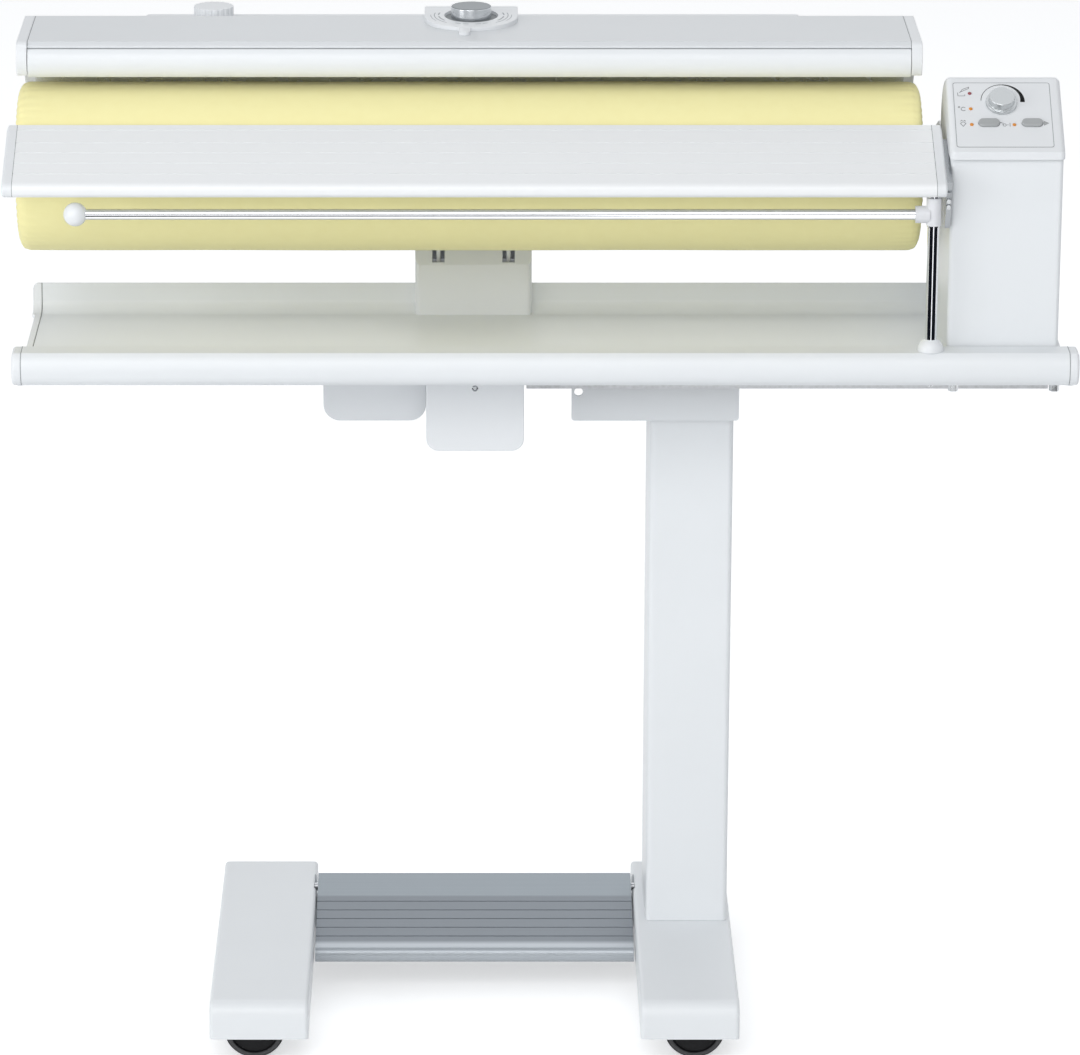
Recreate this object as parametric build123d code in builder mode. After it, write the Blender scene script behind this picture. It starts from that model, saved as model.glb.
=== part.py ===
"""Flatwork ironer on a folding column stand, millimetres.

X runs along the roller, -Y is the side the user sits at, +Z is up.
The origin is on the floor, below the centre of the whole machine.
"""
from build123d import *
from math import asin, atan2, cos, hypot, pi, radians, sin, tan
import os

os.makedirs("parts", exist_ok=True)

# ---------------------------------------------------------------- stand
foot_length = 380.0
foot_width = 94.0
foot_underside = 32.0
foot_top = 68.0
foot_wall = 4.0
foot_end_wall = 12.0
foot_toe_radius = 14.0
foot_heel_radius = 6.0
foot_edge_radius = 4.0
left_foot_x = -315.0
foot_spacing = 410.0
wheel_radius = 29.0
wheel_width = 20.0
wheel_end_margin = 40.0
wheel_offset = 5.5
axle_radius = 4.0
running_clearance = 0.05
wheel_plate = 3.0
wheel_cheek = 2.5
wheel_side_gap = 1.5
beam_width = 40.0
beam_height = 22.0
beam_wall = 2.5
beam_heel_margin = 74.0

# ---------------------------------------------------------------- pedal
pedal_side_gap = 1.5
pedal_heel_margin = 58.0
pedal_hinge_z = 61.5
pedal_rod_radius = 4.0
pedal_knuckle_radius = 6.5
pedal_plate = 3.5
pedal_tail = 11.0
pedal_tail_z = 72.0
pedal_flat = 38.0
pedal_crease_z = 66.5
pedal_reach = 130.0
pedal_nose_z = 42.0
pedal_nose_radius = 8.0
pedal_nose_wall = 2.5
pedal_groove_count = 5
pedal_groove_start = 10.0
pedal_groove_pitch = 16.0
groove_width = 1.4
groove_depth = 0.8

# ---------------------------------------------------------------- column
column_on_foot = 50.0
column_width = 80.0
column_depth = 125.0
column_front = 23.0
column_wall = 3.0
column_radius = 5.0
bracket_reach = 115.5
bracket_width = 160.0
bracket_height = 63.0
bracket_top = 648.0
bracket_front = 14.0
bracket_sheet = 3.0
bracket_corner = 3.0
bracket_ear = 30.5
bracket_ear_drop = 7.0
stop_hole_inset = 6.6
stop_hole_drop = 34.4
stop_hole_radius = 4.15
fold_inset = 8.5
fold_drop = 18.0
fold_pin_radius = 5.0
fold_pin_head = 1.6
collar_height = 6.0
collar_proud = 1.5

# ---------------------------------------------------------------- tray
tray_left = -492.5
tray_end_margin = 17.5
tray_cap = 8.5
tray_edge = 6.0
tray_cap_corner = 6.0
tray_lift = 8.0
tray_sheet = 2.0
tray_nose_front = -130.0
tray_nose_depth = 31.0
tray_nose_rise = 4.4
tray_nose_height = 31.0
tray_nose_bulge = 8.0
tray_nose_wall = 2.5
tray_ramp = 0.5
tray_rim_foot = 134.0
tray_rim_back = 152.0
tray_rim_height = 28.0
fold_gap = 0.3
hinge_plate_margin = 9.5
hinge_plate_back = 158.0
hinge_lug = 6.0
hinge_lug_radius = 11.0
hinge_lug_half = 12.0
chassis_rail_height = 27.0
chassis_rail_width = 30.0
chassis_rail_wall = 2.5
front_rail_reach = 159.0
back_rail_reach = 360.0

# ---------------------------------------------------------------- roller
roller_left = -491.0
roller_length = 846.0
roller_radius = 80.0
roller_y = 20.0
roller_rise = 178.0
padding_thickness = 5.8
padding_shoulder = 11.0
padding_lip_radius = 58.0
padding_lip = 4.5
core_wall = 3.0
core_fit = 0.2
roller_shaft_radius = 10.0
end_disc_inset = 15.0
end_disc = 3.0

# ---------------------------------------------------------------- heater
press_inset = 427.0
press_y = 160.0
press_rise = 44.0
press_travel = 3.8
press_pin_radius = 6.0
press_cover_width = 113.0
press_cover_height = 28.0
press_cover_wall = 3.0
arm_half = 36.0
arm_plate = 4.0
arm_rise = 46.0
arm_slot_width = 12.0
arm_slot_length = 40.0
arm_web_height = 70.0
arm_hub_radius = 14.0
mould_gap = 4.5
mould_wall = 6.0
mould_front_angle = 102.0
mould_back_angle = -33.0
cover_rise = 43.5
cover_front = 0.0
cover_back = 127.0
cover_drop = 37.0
cover_shoulder = 15.0
cover_lip = 9.0
cover_sheet = 2.0
cover_cap = 10.0
guard_drop = 6.5
guard_height = 27.0
guard_bulge = 4.5
guard_depth = 6.5
guard_pin_radius = 2.0
element_radius = 3.5
element_angles = (-16.0, 20.0, 50.0, 80.0)
tank_inset = 111.0
tank_length = 630.0
tank_depth = 57.0
tank_drop = 11.5
tank_height = 62.0
filler_inset = 67.3
filler_back = 37.5
filler_radius = 19.0
filler_height = 14.0
neck_radius = 12.0
neck_height = 8.0
dial_plate_width = 88.5
dial_plate_margin = 1.0
dial_plate_front_rise = 3.2
dial_plate_back_rise = 6.7
dial_plate_skirt = 4.0
dial_floor_rise = 2.8
dial_clearance = 0.3
dial_recess_radius = 25.5
dial_inset = 424.8
dial_back = 34.0
dial_radius = 19.0
dial_height = 14.5
dial_stem_radius = 3.0
dial_stem_height = 8.0
tongue_offset = -6.3
tongue_radius = 5.5
tongue_reach = 13.5
tongue_height = 3.0

# ---------------------------------------------------------------- feed board
board_left = -497.5
board_end_gap = 5.0
board_cap = 9.3
board_rear_reach = 60.0
board_rear_rise = 55.5
board_slope = 22.5
board_depth = 91.0
board_nose_radius = 7.5
board_wall = 2.0
board_clearance = 2.5
board_grooves = (9.5, 29.5, 45.0, 61.0, 77.5)
arm_face_inset = 18.0
arm_screw_pitch = 5.5
arm_screw_radius = 2.2

# ---------------------------------------------------------------- drive housing
housing_gap = 21.0
housing_width = 104.0
housing_front = -97.0
housing_back = 110.0
housing_wall = 3.0
housing_shoulder = 36.2
housing_back_drop = 22.2
housing_roof_break = 52.0
housing_head_back = 20.0
housing_edge = 4.0
head_overhang = 1.0
head_proud = 5.0
head_lip = 7.3
head_crest_y = -28.0
panel_slope = 35.0
panel_reach = 37.5
panel_width = 89.5
panel_height = 79.0
panel_sheet = 2.0
panel_fit = 0.15
panel_shift = -2.2
knob_u = -3.1
knob_v = 14.4
knob_skirt_radius = 14.75
knob_cap_radius = 11.2
knob_height = 10.5
knob_stem_radius = 3.0
button_length = 19.5
button_height = 9.0
button_u = (-15.8, 24.2)
button_v = -10.2
button_proud = 2.5
light_radius = 1.7
light_places = ((-31.9, 26.3), (-31.9, 7.3), (-31.9, -12.0), (7.4, -12.2))
bearing_radius = 20.0
bearing_flange = 24.0
gear_module = 2.0
roller_gear_teeth = 30
pinion_teeth = 12
gear_width = 12.0
gear_inset = 8.0
motor_radius = 35.0
motor_side_margin = 36.0
motor_shaft_radius = 4.0
motor_shaft_depth = 20.0
motor_mount_inset = 20.0
motor_mount_sheet = 3.0
motor_mount_margin = 5.0
motor_mount_foot = 34.0

# ---------------------------------------------------------------- laundry rail
post_gap = 16.0
post_inset = 18.0
post_radius = 5.5
post_rise = 5.8
post_base_radius = 12.5
rail_drop = 12.5
rail_radius = 5.0
rail_inset = 60.0
rail_ball_radius = 11.0
ball_fit = 0.5
sleeve_radius = 7.0
sleeve_height = 26.0
sleeve_rise = 3.5
tee_radius = 8.0
tee_length = 13.0

# ---------------------------------------------------------------- lift covers
# each box: reach of both ends from the column, front, back, depth, corner
lift_left = (353.0, 254.5, 40.0, 110.0, 79.0, 16.0)
lift_right = (254.0, 161.2, -30.0, 18.0, 88.0, 12.0)
lift_wall = 2.5


# Sizes that follow from the ones above
foot_height = foot_top - foot_underside
wheel_base = foot_length - 2 * wheel_end_margin
beam_y = foot_length / 2 - beam_heel_margin
right_foot_x = left_foot_x + foot_spacing
left_wheel_x = left_foot_x + foot_width / 2 - wheel_offset
right_wheel_x = right_foot_x + foot_width / 2 + wheel_offset
foot_inner_left = left_foot_x + foot_width
foot_inner_right = right_foot_x

pedal_hinge_y = foot_length / 2 - pedal_heel_margin
pedal_back = (pedal_hinge_y + pedal_tail, pedal_tail_z)
pedal_crease = (pedal_hinge_y - pedal_flat, pedal_crease_z)
pedal_nose = (pedal_hinge_y - pedal_reach, pedal_nose_z)

column_x = right_foot_x + column_on_foot
bracket_left = column_x - bracket_reach
bracket_right = bracket_left + bracket_width
bracket_bottom = bracket_top - bracket_height
bracket_web_left = bracket_left + bracket_ear
bracket_depth = column_depth + 16.0
bracket_back = bracket_front + bracket_depth
stop_hole = (bracket_left + stop_hole_inset, bracket_top - stop_hole_drop)
fold_x = bracket_left + fold_inset
fold_z = bracket_top - fold_drop

roller_right = roller_left + roller_length
core_radius = roller_radius - padding_thickness
housing_left = roller_right + housing_gap
housing_right = housing_left + housing_width
board_right = housing_left - board_end_gap
board_length = board_right - board_left

tray_right = housing_right + tray_end_margin
sheet_left = tray_left + tray_cap
sheet_right = tray_right - tray_cap
tray_floor_top = bracket_top + tray_lift
tray_underside = tray_floor_top - tray_sheet
tray_nose_bottom = tray_floor_top + tray_nose_rise
tray_nose_top = tray_nose_bottom + tray_nose_height
tray_rim_top = tray_floor_top + tray_rim_height
plate_bottom = bracket_top + fold_gap

roller_z = tray_floor_top + roller_rise
press_x = roller_left + press_inset
press_z = tray_floor_top + press_rise
arm_top = roller_z + arm_rise
cover_top = roller_z + roller_radius + cover_rise
cover_bottom = roller_z - cover_drop
guard_top = cover_top - guard_drop
guard_bottom = guard_top - guard_height
guard_front = cover_front - guard_bulge
guard_back = cover_front + guard_depth
tank_left = roller_left + tank_inset
tank_back = cover_back + tank_depth
tank_top = cover_top - tank_drop
tank_bottom = tank_top - tank_height
filler_x = tank_left + filler_inset
filler_y = tank_back - filler_back
filler_top = tank_top + filler_height
dial_plate_back = cover_back - dial_plate_margin
dial_x = roller_left + dial_inset
dial_y = cover_back - dial_back
dial_top = cover_top + dial_height

board_rear = (roller_y - board_rear_reach, roller_z + board_rear_rise)
arm_face_y = tray_nose_front + arm_face_inset
arm_screws = (roller_z - arm_screw_pitch, roller_z)
housing_shoulder_z = roller_z + housing_shoulder
housing_back_top = housing_shoulder_z - housing_back_drop
head_front = housing_front - head_proud
panel_mid_y = head_front + panel_reach
panel_angle = radians(panel_slope)
gear_x = housing_left + gear_inset
motor_length = housing_width - motor_side_margin

post_x = housing_left - post_gap
post_y = tray_nose_front + post_inset
post_top = roller_z + post_rise
rail_z = roller_z - rail_drop
rail_left = roller_left + rail_inset
sleeve_top = roller_z + sleeve_rise


def turned(y, z, angle):
    """Where a point of the press arm lies after a turn about its pivot."""
    a = radians(angle)
    dy, dz = y - press_y, z - press_z
    return press_y + dy * cos(a) - dz * sin(a), press_z + dy * sin(a) + dz * cos(a)


mould_y, mould_z = turned(roller_y, roller_z, -press_travel)
mould_inner = roller_radius + mould_gap
mould_outer = mould_inner + mould_wall


# ================================================================ stand
def build_foot(x_left, x_inner, inward):
    """A pressed foot shell, open below, with a notch for the pedal hinge."""
    with BuildPart() as foot:
        with BuildSketch(Plane.YZ.offset(x_left)) as side:
            with Locations((0, (foot_underside + foot_top) / 2)):
                Rectangle(foot_length, foot_height)
            toe = side.vertices().sort_by(Axis.X)[:2].sort_by(Axis.Y)
            fillet(toe[1], radius=foot_toe_radius)
            heel = side.vertices().sort_by(Axis.X)[-2:].sort_by(Axis.Y)
            fillet(heel[1], radius=foot_heel_radius)
        extrude(amount=foot_width)
        flanks = foot.faces().filter_by(Axis.X)
        rims = flanks.edges().filter_by(lambda e: e.center().Z > foot_underside + 1)
        fillet(rims, radius=foot_edge_radius)
        with BuildSketch(Plane.XY.offset(foot_underside)):
            with Locations((x_left + foot_width / 2, 0)):
                Rectangle(foot_width - 2 * foot_wall, foot_length - 2 * foot_end_wall)
        extrude(amount=foot_height - foot_wall, mode=Mode.SUBTRACT)
        notch = foot_wall * 0.6
        with Locations((x_inner + inward * notch / 2, pedal_hinge_y, foot_top)):
            Box(notch, 38.0, 34.0, mode=Mode.SUBTRACT)
        with BuildSketch(Plane.YZ.offset(x_inner)):
            with Locations((pedal_hinge_y, pedal_hinge_z)):
                Circle(pedal_rod_radius + running_clearance)
        extrude(amount=inward * foot_wall, mode=Mode.SUBTRACT)
    return foot


left_foot = build_foot(left_foot_x, foot_inner_left, -1)
right_foot = build_foot(right_foot_x, foot_inner_right, 1)

wheel_sites = {
    "front_left": (left_wheel_x, -wheel_base / 2),
    "front_right": (right_wheel_x, -wheel_base / 2),
    "rear_left": (left_wheel_x, wheel_base / 2),
    "rear_right": (right_wheel_x, wheel_base / 2),
}
cheek_inside = wheel_width / 2 + wheel_side_gap
bracket_ceiling = foot_top - foot_wall

# Folded steel forks under the ceiling of each foot
with BuildPart() as wheel_brackets:
    for x, y in wheel_sites.values():
        with Locations((x, y, bracket_ceiling - wheel_plate / 2)):
            Box(40.0, 2 * (cheek_inside + wheel_cheek), wheel_plate)
        for inside in (y - cheek_inside - wheel_cheek, y + cheek_inside):
            with BuildSketch(Plane.XZ.offset(-inside)):
                with BuildLine():
                    Polyline(
                        (x - 9, wheel_radius),
                        (x - 16, bracket_ceiling - wheel_plate),
                        (x + 16, bracket_ceiling - wheel_plate),
                        (x + 9, wheel_radius),
                        close=True,
                    )
                make_face()
                with Locations((x, wheel_radius)):
                    Circle(9.0)
                    Circle(axle_radius, mode=Mode.SUBTRACT)
            extrude(amount=-wheel_cheek)

with BuildPart() as wheel_axles:
    for x, y in wheel_sites.values():
        half = cheek_inside + wheel_cheek
        with BuildSketch(Plane.XZ.offset(-(y + half))):
            with Locations((x, wheel_radius)):
                Circle(axle_radius)
        extrude(amount=2 * half)
        for end in (y - half - 2.0, y + half):
            with BuildSketch(Plane.XZ.offset(-end)):
                with Locations((x, wheel_radius)):
                    RegularPolygon(6.5, 6)
            extrude(amount=-2.0)


def build_wheel(x, y):
    """A dished wheel with a tyre rim, turned about its axle."""
    half = wheel_width / 2
    bore = axle_radius + running_clearance
    with BuildPart() as wheel:
        with BuildSketch(Plane.YZ.offset(x)):
            with BuildLine():
                Polyline(
                    (y - half, wheel_radius + bore),
                    (y - half, wheel_radius + 9),
                    (y - half + 4, wheel_radius + 11),
                    (y - half + 4, 2 * wheel_radius - 6),
                    (y - half, 2 * wheel_radius - 4),
                    (y - half + 1, 2 * wheel_radius - 1),
                    (y - half + 3.5, 2 * wheel_radius),
                    (y + half - 3.5, 2 * wheel_radius),
                    (y + half - 1, 2 * wheel_radius - 1),
                    (y + half, 2 * wheel_radius - 4),
                    (y + half - 4, 2 * wheel_radius - 6),
                    (y + half - 4, wheel_radius + 11),
                    (y + half, wheel_radius + 9),
                    (y + half, wheel_radius + bore),
                    close=True,
                )
            make_face()
        revolve(axis=Axis((x, y, wheel_radius), (0, 1, 0)))
    return wheel


wheels = {name: build_wheel(x, y) for name, (x, y) in wheel_sites.items()}

# Rectangular tube that ties the feet together behind the pedal
with BuildPart() as cross_beam:
    with BuildSketch(Plane.YZ.offset(foot_inner_left)):
        with Locations((beam_y, foot_underside + beam_height / 2)):
            RectangleRounded(beam_width, beam_height, 3.0)
            Rectangle(beam_width - 2 * beam_wall, beam_height - 2 * beam_wall, mode=Mode.SUBTRACT)
    extrude(amount=foot_inner_right - foot_inner_left)

# ================================================================ pedal
pedal_left = foot_inner_left + pedal_side_gap
pedal_length = foot_inner_right - foot_inner_left - 2 * pedal_side_gap
slope_run = pedal_crease[0] - pedal_nose[0]
slope_far = hypot(slope_run, pedal_crease[1] - pedal_nose[1])
slope_angle = atan2(pedal_crease[1] - pedal_nose[1], slope_run) - asin(pedal_nose_radius / slope_far)
tread_tip = (
    pedal_nose[0] - pedal_nose_radius * sin(slope_angle),
    pedal_nose[1] + pedal_nose_radius * cos(slope_angle),
)

# Extruded tread plate with a round nose and a hinge knuckle
with BuildPart() as pedal_plate_part:
    with BuildSketch(Plane.YZ.offset(pedal_left)):
        with BuildLine():
            Polyline(
                pedal_back,
                pedal_crease,
                tread_tip,
                (tread_tip[0] + 1.0, tread_tip[1] - pedal_plate),
                (pedal_crease[0], pedal_crease[1] - pedal_plate),
                (pedal_back[0], pedal_back[1] - pedal_plate),
                close=True,
            )
        make_face()
        with Locations(pedal_nose):
            Circle(pedal_nose_radius)
        with Locations((pedal_hinge_y, pedal_hinge_z)):
            Circle(pedal_knuckle_radius)
        with Locations(pedal_nose):
            Circle(pedal_nose_radius - pedal_nose_wall, mode=Mode.SUBTRACT)
        with Locations((pedal_hinge_y, pedal_hinge_z)):
            Circle(pedal_rod_radius + running_clearance, mode=Mode.SUBTRACT)
        rise = (pedal_crease[1] - tread_tip[1]) / (pedal_crease[0] - tread_tip[0])
        for i in range(pedal_groove_count):
            y = pedal_crease[0] - pedal_groove_start - i * pedal_groove_pitch
            with Locations((y, pedal_crease[1] - rise * (pedal_crease[0] - y))):
                Rectangle(groove_width, 2 * groove_depth, mode=Mode.SUBTRACT)
    extrude(amount=pedal_length)

with BuildPart() as pedal_rod:
    with BuildSketch(Plane.YZ.offset(foot_inner_left - foot_wall)):
        with Locations((pedal_hinge_y, pedal_hinge_z)):
            Circle(pedal_rod_radius)
    extrude(amount=foot_inner_right - foot_inner_left + 2 * foot_wall)

# ================================================================ column
column_y = column_front + column_depth / 2
column_top = bracket_top - bracket_sheet

with BuildPart() as column:
    with BuildSketch(Plane.XY.offset(foot_top)):
        with Locations((column_x, column_y)):
            RectangleRounded(column_width, column_depth, column_radius)
            Rectangle(column_width - 2 * column_wall, column_depth - 2 * column_wall, mode=Mode.SUBTRACT)
    extrude(amount=column_top - foot_top)

# Moulded trim ring where the column enters the bracket
with BuildPart() as column_collar:
    with BuildSketch(Plane.XY.offset(bracket_bottom - 1.5)):
        with Locations((column_x, column_y)):
            RectangleRounded(
                column_width + 2 * collar_proud, column_depth + 2 * collar_proud, column_radius + 1
            )
            RectangleRounded(column_width, column_depth, column_radius, mode=Mode.SUBTRACT)
    extrude(amount=collar_height)

# Inverted channel that carries the ironing unit on its hinge pin
with BuildPart() as fold_bracket:
    with BuildSketch(Plane.XZ.offset(-bracket_back)) as cheek:
        with BuildLine():
            Polyline(
                (bracket_left, bracket_bottom),
                (bracket_right, bracket_bottom),
                (bracket_right, bracket_top),
                (bracket_web_left, bracket_top),
                (bracket_web_left - 10, bracket_top - bracket_ear_drop),
                (bracket_left, bracket_top - bracket_ear_drop),
                close=True,
            )
        make_face()
        fillet(cheek.vertices().group_by(Axis.Y)[0], radius=bracket_corner)
    extrude(amount=bracket_depth)
    inner_depth = bracket_depth - 2 * bracket_sheet
    with BuildSketch(Plane.XY.offset(bracket_bottom)):
        with Locations(((bracket_left + bracket_right) / 2, bracket_front + bracket_depth / 2)):
            Rectangle(2 * (bracket_right - bracket_left), inner_depth)
    extrude(amount=bracket_top - bracket_sheet - bracket_bottom, mode=Mode.SUBTRACT)
    with BuildSketch(Plane.XY.offset(bracket_bottom)):
        with Locations((bracket_web_left - 50, bracket_front + bracket_depth / 2)):
            Rectangle(100.0, inner_depth)
    extrude(amount=bracket_top - bracket_bottom, mode=Mode.SUBTRACT)
    with BuildSketch(Plane.XZ.offset(-bracket_back)):
        with Locations((fold_x, fold_z)):
            Circle(fold_pin_radius)
        with Locations(stop_hole):
            Circle(stop_hole_radius)
    extrude(amount=bracket_depth, mode=Mode.SUBTRACT)

with BuildPart() as fold_pin:
    with BuildSketch(Plane.XZ.offset(-bracket_back)):
        with Locations((fold_x, fold_z)):
            Circle(fold_pin_radius)
    extrude(amount=bracket_depth)
    for end in (bracket_front, bracket_back + fold_pin_head):
        with BuildSketch(Plane.XZ.offset(-end)):
            with Locations((fold_x, fold_z)):
                Circle(fold_pin_radius + 2.0)
        extrude(amount=fold_pin_head)

# ================================================================ tray
nose_back = tray_nose_front + tray_nose_depth
nose_mid = (tray_nose_bottom + tray_nose_top) / 2


def nose_outline(inset):
    """Bulged front rail of the tray, drawn inset from its outer face."""
    Polyline(
        (tray_nose_front + tray_nose_bulge, tray_nose_top - inset),
        (nose_back - inset, tray_nose_top - inset),
        (nose_back - inset, tray_nose_bottom + inset),
        (tray_nose_front + tray_nose_bulge, tray_nose_bottom + inset),
    )
    ThreePointArc(
        (tray_nose_front + tray_nose_bulge, tray_nose_bottom + inset),
        (tray_nose_front + inset, nose_mid),
        (tray_nose_front + tray_nose_bulge, tray_nose_top - inset),
    )


def rim_line(front):
    """Middle line of the tray floor and its curled back rim."""
    mid = tray_floor_top - tray_sheet / 2
    floor_line = Line((front, mid), (tray_rim_foot, mid))
    curl = JernArc(start=floor_line @ 1, tangent=(1, 0), radius=16.0, arc_size=72)
    Line(curl @ 1, (tray_rim_back - tray_sheet / 2, tray_rim_top))


with BuildPart() as tray:
    with BuildSketch(Plane.YZ.offset(sheet_left)):
        with BuildLine():
            nose_outline(0.0)
        make_face()
        with BuildLine():
            nose_outline(tray_nose_wall)
        make_face(mode=Mode.SUBTRACT)
        with BuildLine() as floor_path:
            rim_line(nose_back + tray_ramp)
            Line(
                (nose_back - 1, tray_nose_bottom + 1),
                (nose_back + tray_ramp, tray_floor_top - tray_sheet / 2),
            )
        trace(floor_path.line, line_width=tray_sheet)
    extrude(amount=sheet_right - sheet_left)
    cutout_width = press_cover_width + 0.4
    with Locations((press_x, press_y, tray_floor_top + tray_rim_height)):
        Box(cutout_width, 2 * (press_y - tray_rim_foot), 2 * tray_rim_height, mode=Mode.SUBTRACT)

with BuildPart() as tray_end_caps:
    for x, outward in ((sheet_left, -1), (sheet_right, 1)):
        with BuildSketch(Plane.YZ.offset(x)):
            with BuildLine():
                nose_outline(0.0)
            make_face()
        extrude(amount=outward * tray_cap)
    ends = tray_end_caps.faces().filter_by(Axis.X)
    fillet((ends.sort_by(Axis.X)[:1] + ends.sort_by(Axis.X)[-1:]).edges(), radius=3.0)

    # thicker ends for the curled rim, and strips along both sides of the floor
    for x, outward in ((sheet_left, -1), (sheet_right, 1)):
        with BuildSketch(Plane.YZ.offset(x)):
            with BuildLine() as end_path:
                rim_line(tray_rim_foot - 1.0)
            trace(end_path.line, line_width=2 * tray_sheet)
        extrude(amount=outward * tray_cap)
        with BuildSketch(Plane.YZ.offset(x)):
            strip_mid = (nose_back + tray_rim_foot) / 2
            with Locations((strip_mid, tray_floor_top - tray_sheet / 2)):
                Rectangle(tray_rim_foot - nose_back, 2 * tray_sheet)
        extrude(amount=outward * tray_edge)
    corners = tray_end_caps.edges().filter_by(
        lambda e: e.center().Z > tray_rim_top - 2
        and (e.center().X < tray_left + 0.1 or e.center().X > tray_right - 0.1)
        and e.center().Y > tray_rim_foot
        and abs((e @ 0).Z - (e @ 1).Z) < 2.0
        and e.length < 3 * tray_sheet
    )
    fillet(corners, radius=tray_cap_corner)

hinge_plate_width = bracket_width + 2 * hinge_plate_margin + 1.0
hinge_plate_x = bracket_left - hinge_plate_margin + hinge_plate_width / 2
hinge_plate_front = bracket_front - 4.0

# Plate and lugs that hang on the hinge pin of the stand
with BuildPart() as hinge_plate:
    with BuildSketch(Plane.XY.offset(plate_bottom)):
        with Locations((hinge_plate_x, (hinge_plate_front + hinge_plate_back) / 2)):
            Rectangle(hinge_plate_width, hinge_plate_back - hinge_plate_front)
    extrude(amount=tray_underside - plate_bottom)
    lug_faces = (
        bracket_front + bracket_sheet + 1.0,
        bracket_back - bracket_sheet - 1.0 - hinge_lug,
    )
    for front in lug_faces:
        with BuildSketch(Plane.XZ.offset(-front)):
            with Locations((fold_x, (fold_z + plate_bottom) / 2)):
                Rectangle(2 * hinge_lug_half - 2, plate_bottom - fold_z)
            with Locations((fold_x, fold_z)):
                Circle(hinge_lug_radius)
                Circle(fold_pin_radius + running_clearance, mode=Mode.SUBTRACT)
        extrude(amount=-hinge_lug)

with BuildPart() as chassis_rails:
    for x, y in (
        (column_x - front_rail_reach, hinge_plate_front - chassis_rail_width),
        (column_x - back_rail_reach, hinge_plate_back),
    ):
        with BuildSketch(Plane.YZ.offset(x)):
            with Locations((y + chassis_rail_width / 2, tray_underside - chassis_rail_height / 2)):
                Rectangle(chassis_rail_width, chassis_rail_height)
            with Locations(
                (
                    y + chassis_rail_width / 2,
                    tray_underside - chassis_rail_height / 2 - chassis_rail_wall,
                )
            ):
                Rectangle(
                    chassis_rail_width - 2 * chassis_rail_wall,
                    chassis_rail_height,
                    mode=Mode.SUBTRACT,
                )
        extrude(amount=housing_right - x)


def build_lift_cover(reach, near, y0, y1, depth, corner):
    """Open topped box under the tray that hides the lifting gear."""
    x0, x1 = column_x - reach, column_x - near
    bottom = tray_floor_top - depth
    with BuildPart() as cover:
        with BuildSketch(Plane.XZ.offset(-y1)) as front:
            with Locations(((x0 + x1) / 2, (bottom + tray_underside) / 2)):
                Rectangle(x1 - x0, tray_underside - bottom)
            fillet(front.vertices().group_by(Axis.Y)[0], radius=corner)
        extrude(amount=y1 - y0)
        top = cover.faces().sort_by(Axis.Z)[-1]
        offset(amount=-lift_wall, openings=top)
    return cover


lift_cover_left = build_lift_cover(*lift_left)
lift_cover_right = build_lift_cover(*lift_right)

# Geared motor that drives the press arm, inside the right cover
with BuildPart() as lift_motor:
    motor_y = (lift_right[2] + lift_right[3]) / 2
    motor_z = (tray_floor_top - lift_right[4] + tray_underside) / 2
    motor_left = column_x - lift_right[0] + 8.0
    with BuildSketch(Plane.YZ.offset(motor_left)):
        with Locations((motor_y, motor_z)):
            Circle(18.0)
    extrude(amount=48.0)
    with BuildSketch(Plane.YZ.offset(motor_left + 48.0)):
        with Locations((motor_y, motor_z)):
            RectangleRounded(38.0, 46.0, 4.0)
    extrude(amount=26.0)
    with Locations((motor_left + 61.0, motor_y, (motor_z + 23 + tray_underside) / 2)):
        Box(26.0, 30.0, tray_underside - motor_z - 23)

# Cover on the tray around the foot of the press arm
press_cover_front = tray_rim_foot + 1.0
press_cover_top = press_z + press_cover_height
cheek_centres = [press_x + side * (arm_half - arm_plate / 2) for side in (-1, 1)]
with BuildPart() as press_cover:
    with BuildSketch(Plane.YZ.offset(press_x - press_cover_width / 2)) as side:
        with BuildLine():
            Polyline(
                (press_cover_front, tray_floor_top),
                (press_cover_front, press_cover_top - 22),
                (press_cover_front + 14, press_cover_top),
                (tank_back, press_cover_top),
                (tank_back, tray_floor_top),
                close=True,
            )
        make_face()
    extrude(amount=press_cover_width)
    upright = press_cover.edges().filter_by(Axis.Z).group_by(Axis.Y)[0]
    fillet(upright, radius=5.0)
    floor_face = press_cover.faces().sort_by(Axis.Z)[0]
    offset(amount=-press_cover_wall, openings=floor_face)
    for x in cheek_centres:
        with Locations((x, press_y - 4.0, press_cover_top)):
            Box(arm_slot_width, arm_slot_length, 40.0, mode=Mode.SUBTRACT)
    with BuildSketch(Plane.YZ.offset(press_x - press_cover_width / 2)):
        with Locations((press_y, press_z)):
            Circle(press_pin_radius)
    extrude(amount=press_cover_width, mode=Mode.SUBTRACT)

with BuildPart() as press_pin:
    with BuildSketch(Plane.YZ.offset(press_x - press_cover_width / 2)):
        with Locations((press_y, press_z)):
            Circle(press_pin_radius)
    extrude(amount=press_cover_width)

# ================================================================ feed board
slope = radians(board_slope)
board_up = (-sin(slope), cos(slope))
board_down = (-cos(slope), -sin(slope))


def board_point(along, depth):
    """A point of the board's section, along its top and below its face."""
    return (
        board_rear[0] + board_down[0] * along - board_up[0] * depth,
        board_rear[1] + board_down[1] * along - board_up[1] * depth,
    )


def board_section(inset):
    """Half round nose and flat top, set in from the outer face."""
    lower = 2 * board_nose_radius - inset
    Polyline(
        board_point(board_depth, inset),
        board_point(inset, inset),
        board_point(inset, lower),
        board_point(board_depth, lower),
    )
    ThreePointArc(
        board_point(board_depth, lower),
        board_point(board_depth + board_nose_radius - inset, board_nose_radius),
        board_point(board_depth, inset),
    )


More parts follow.
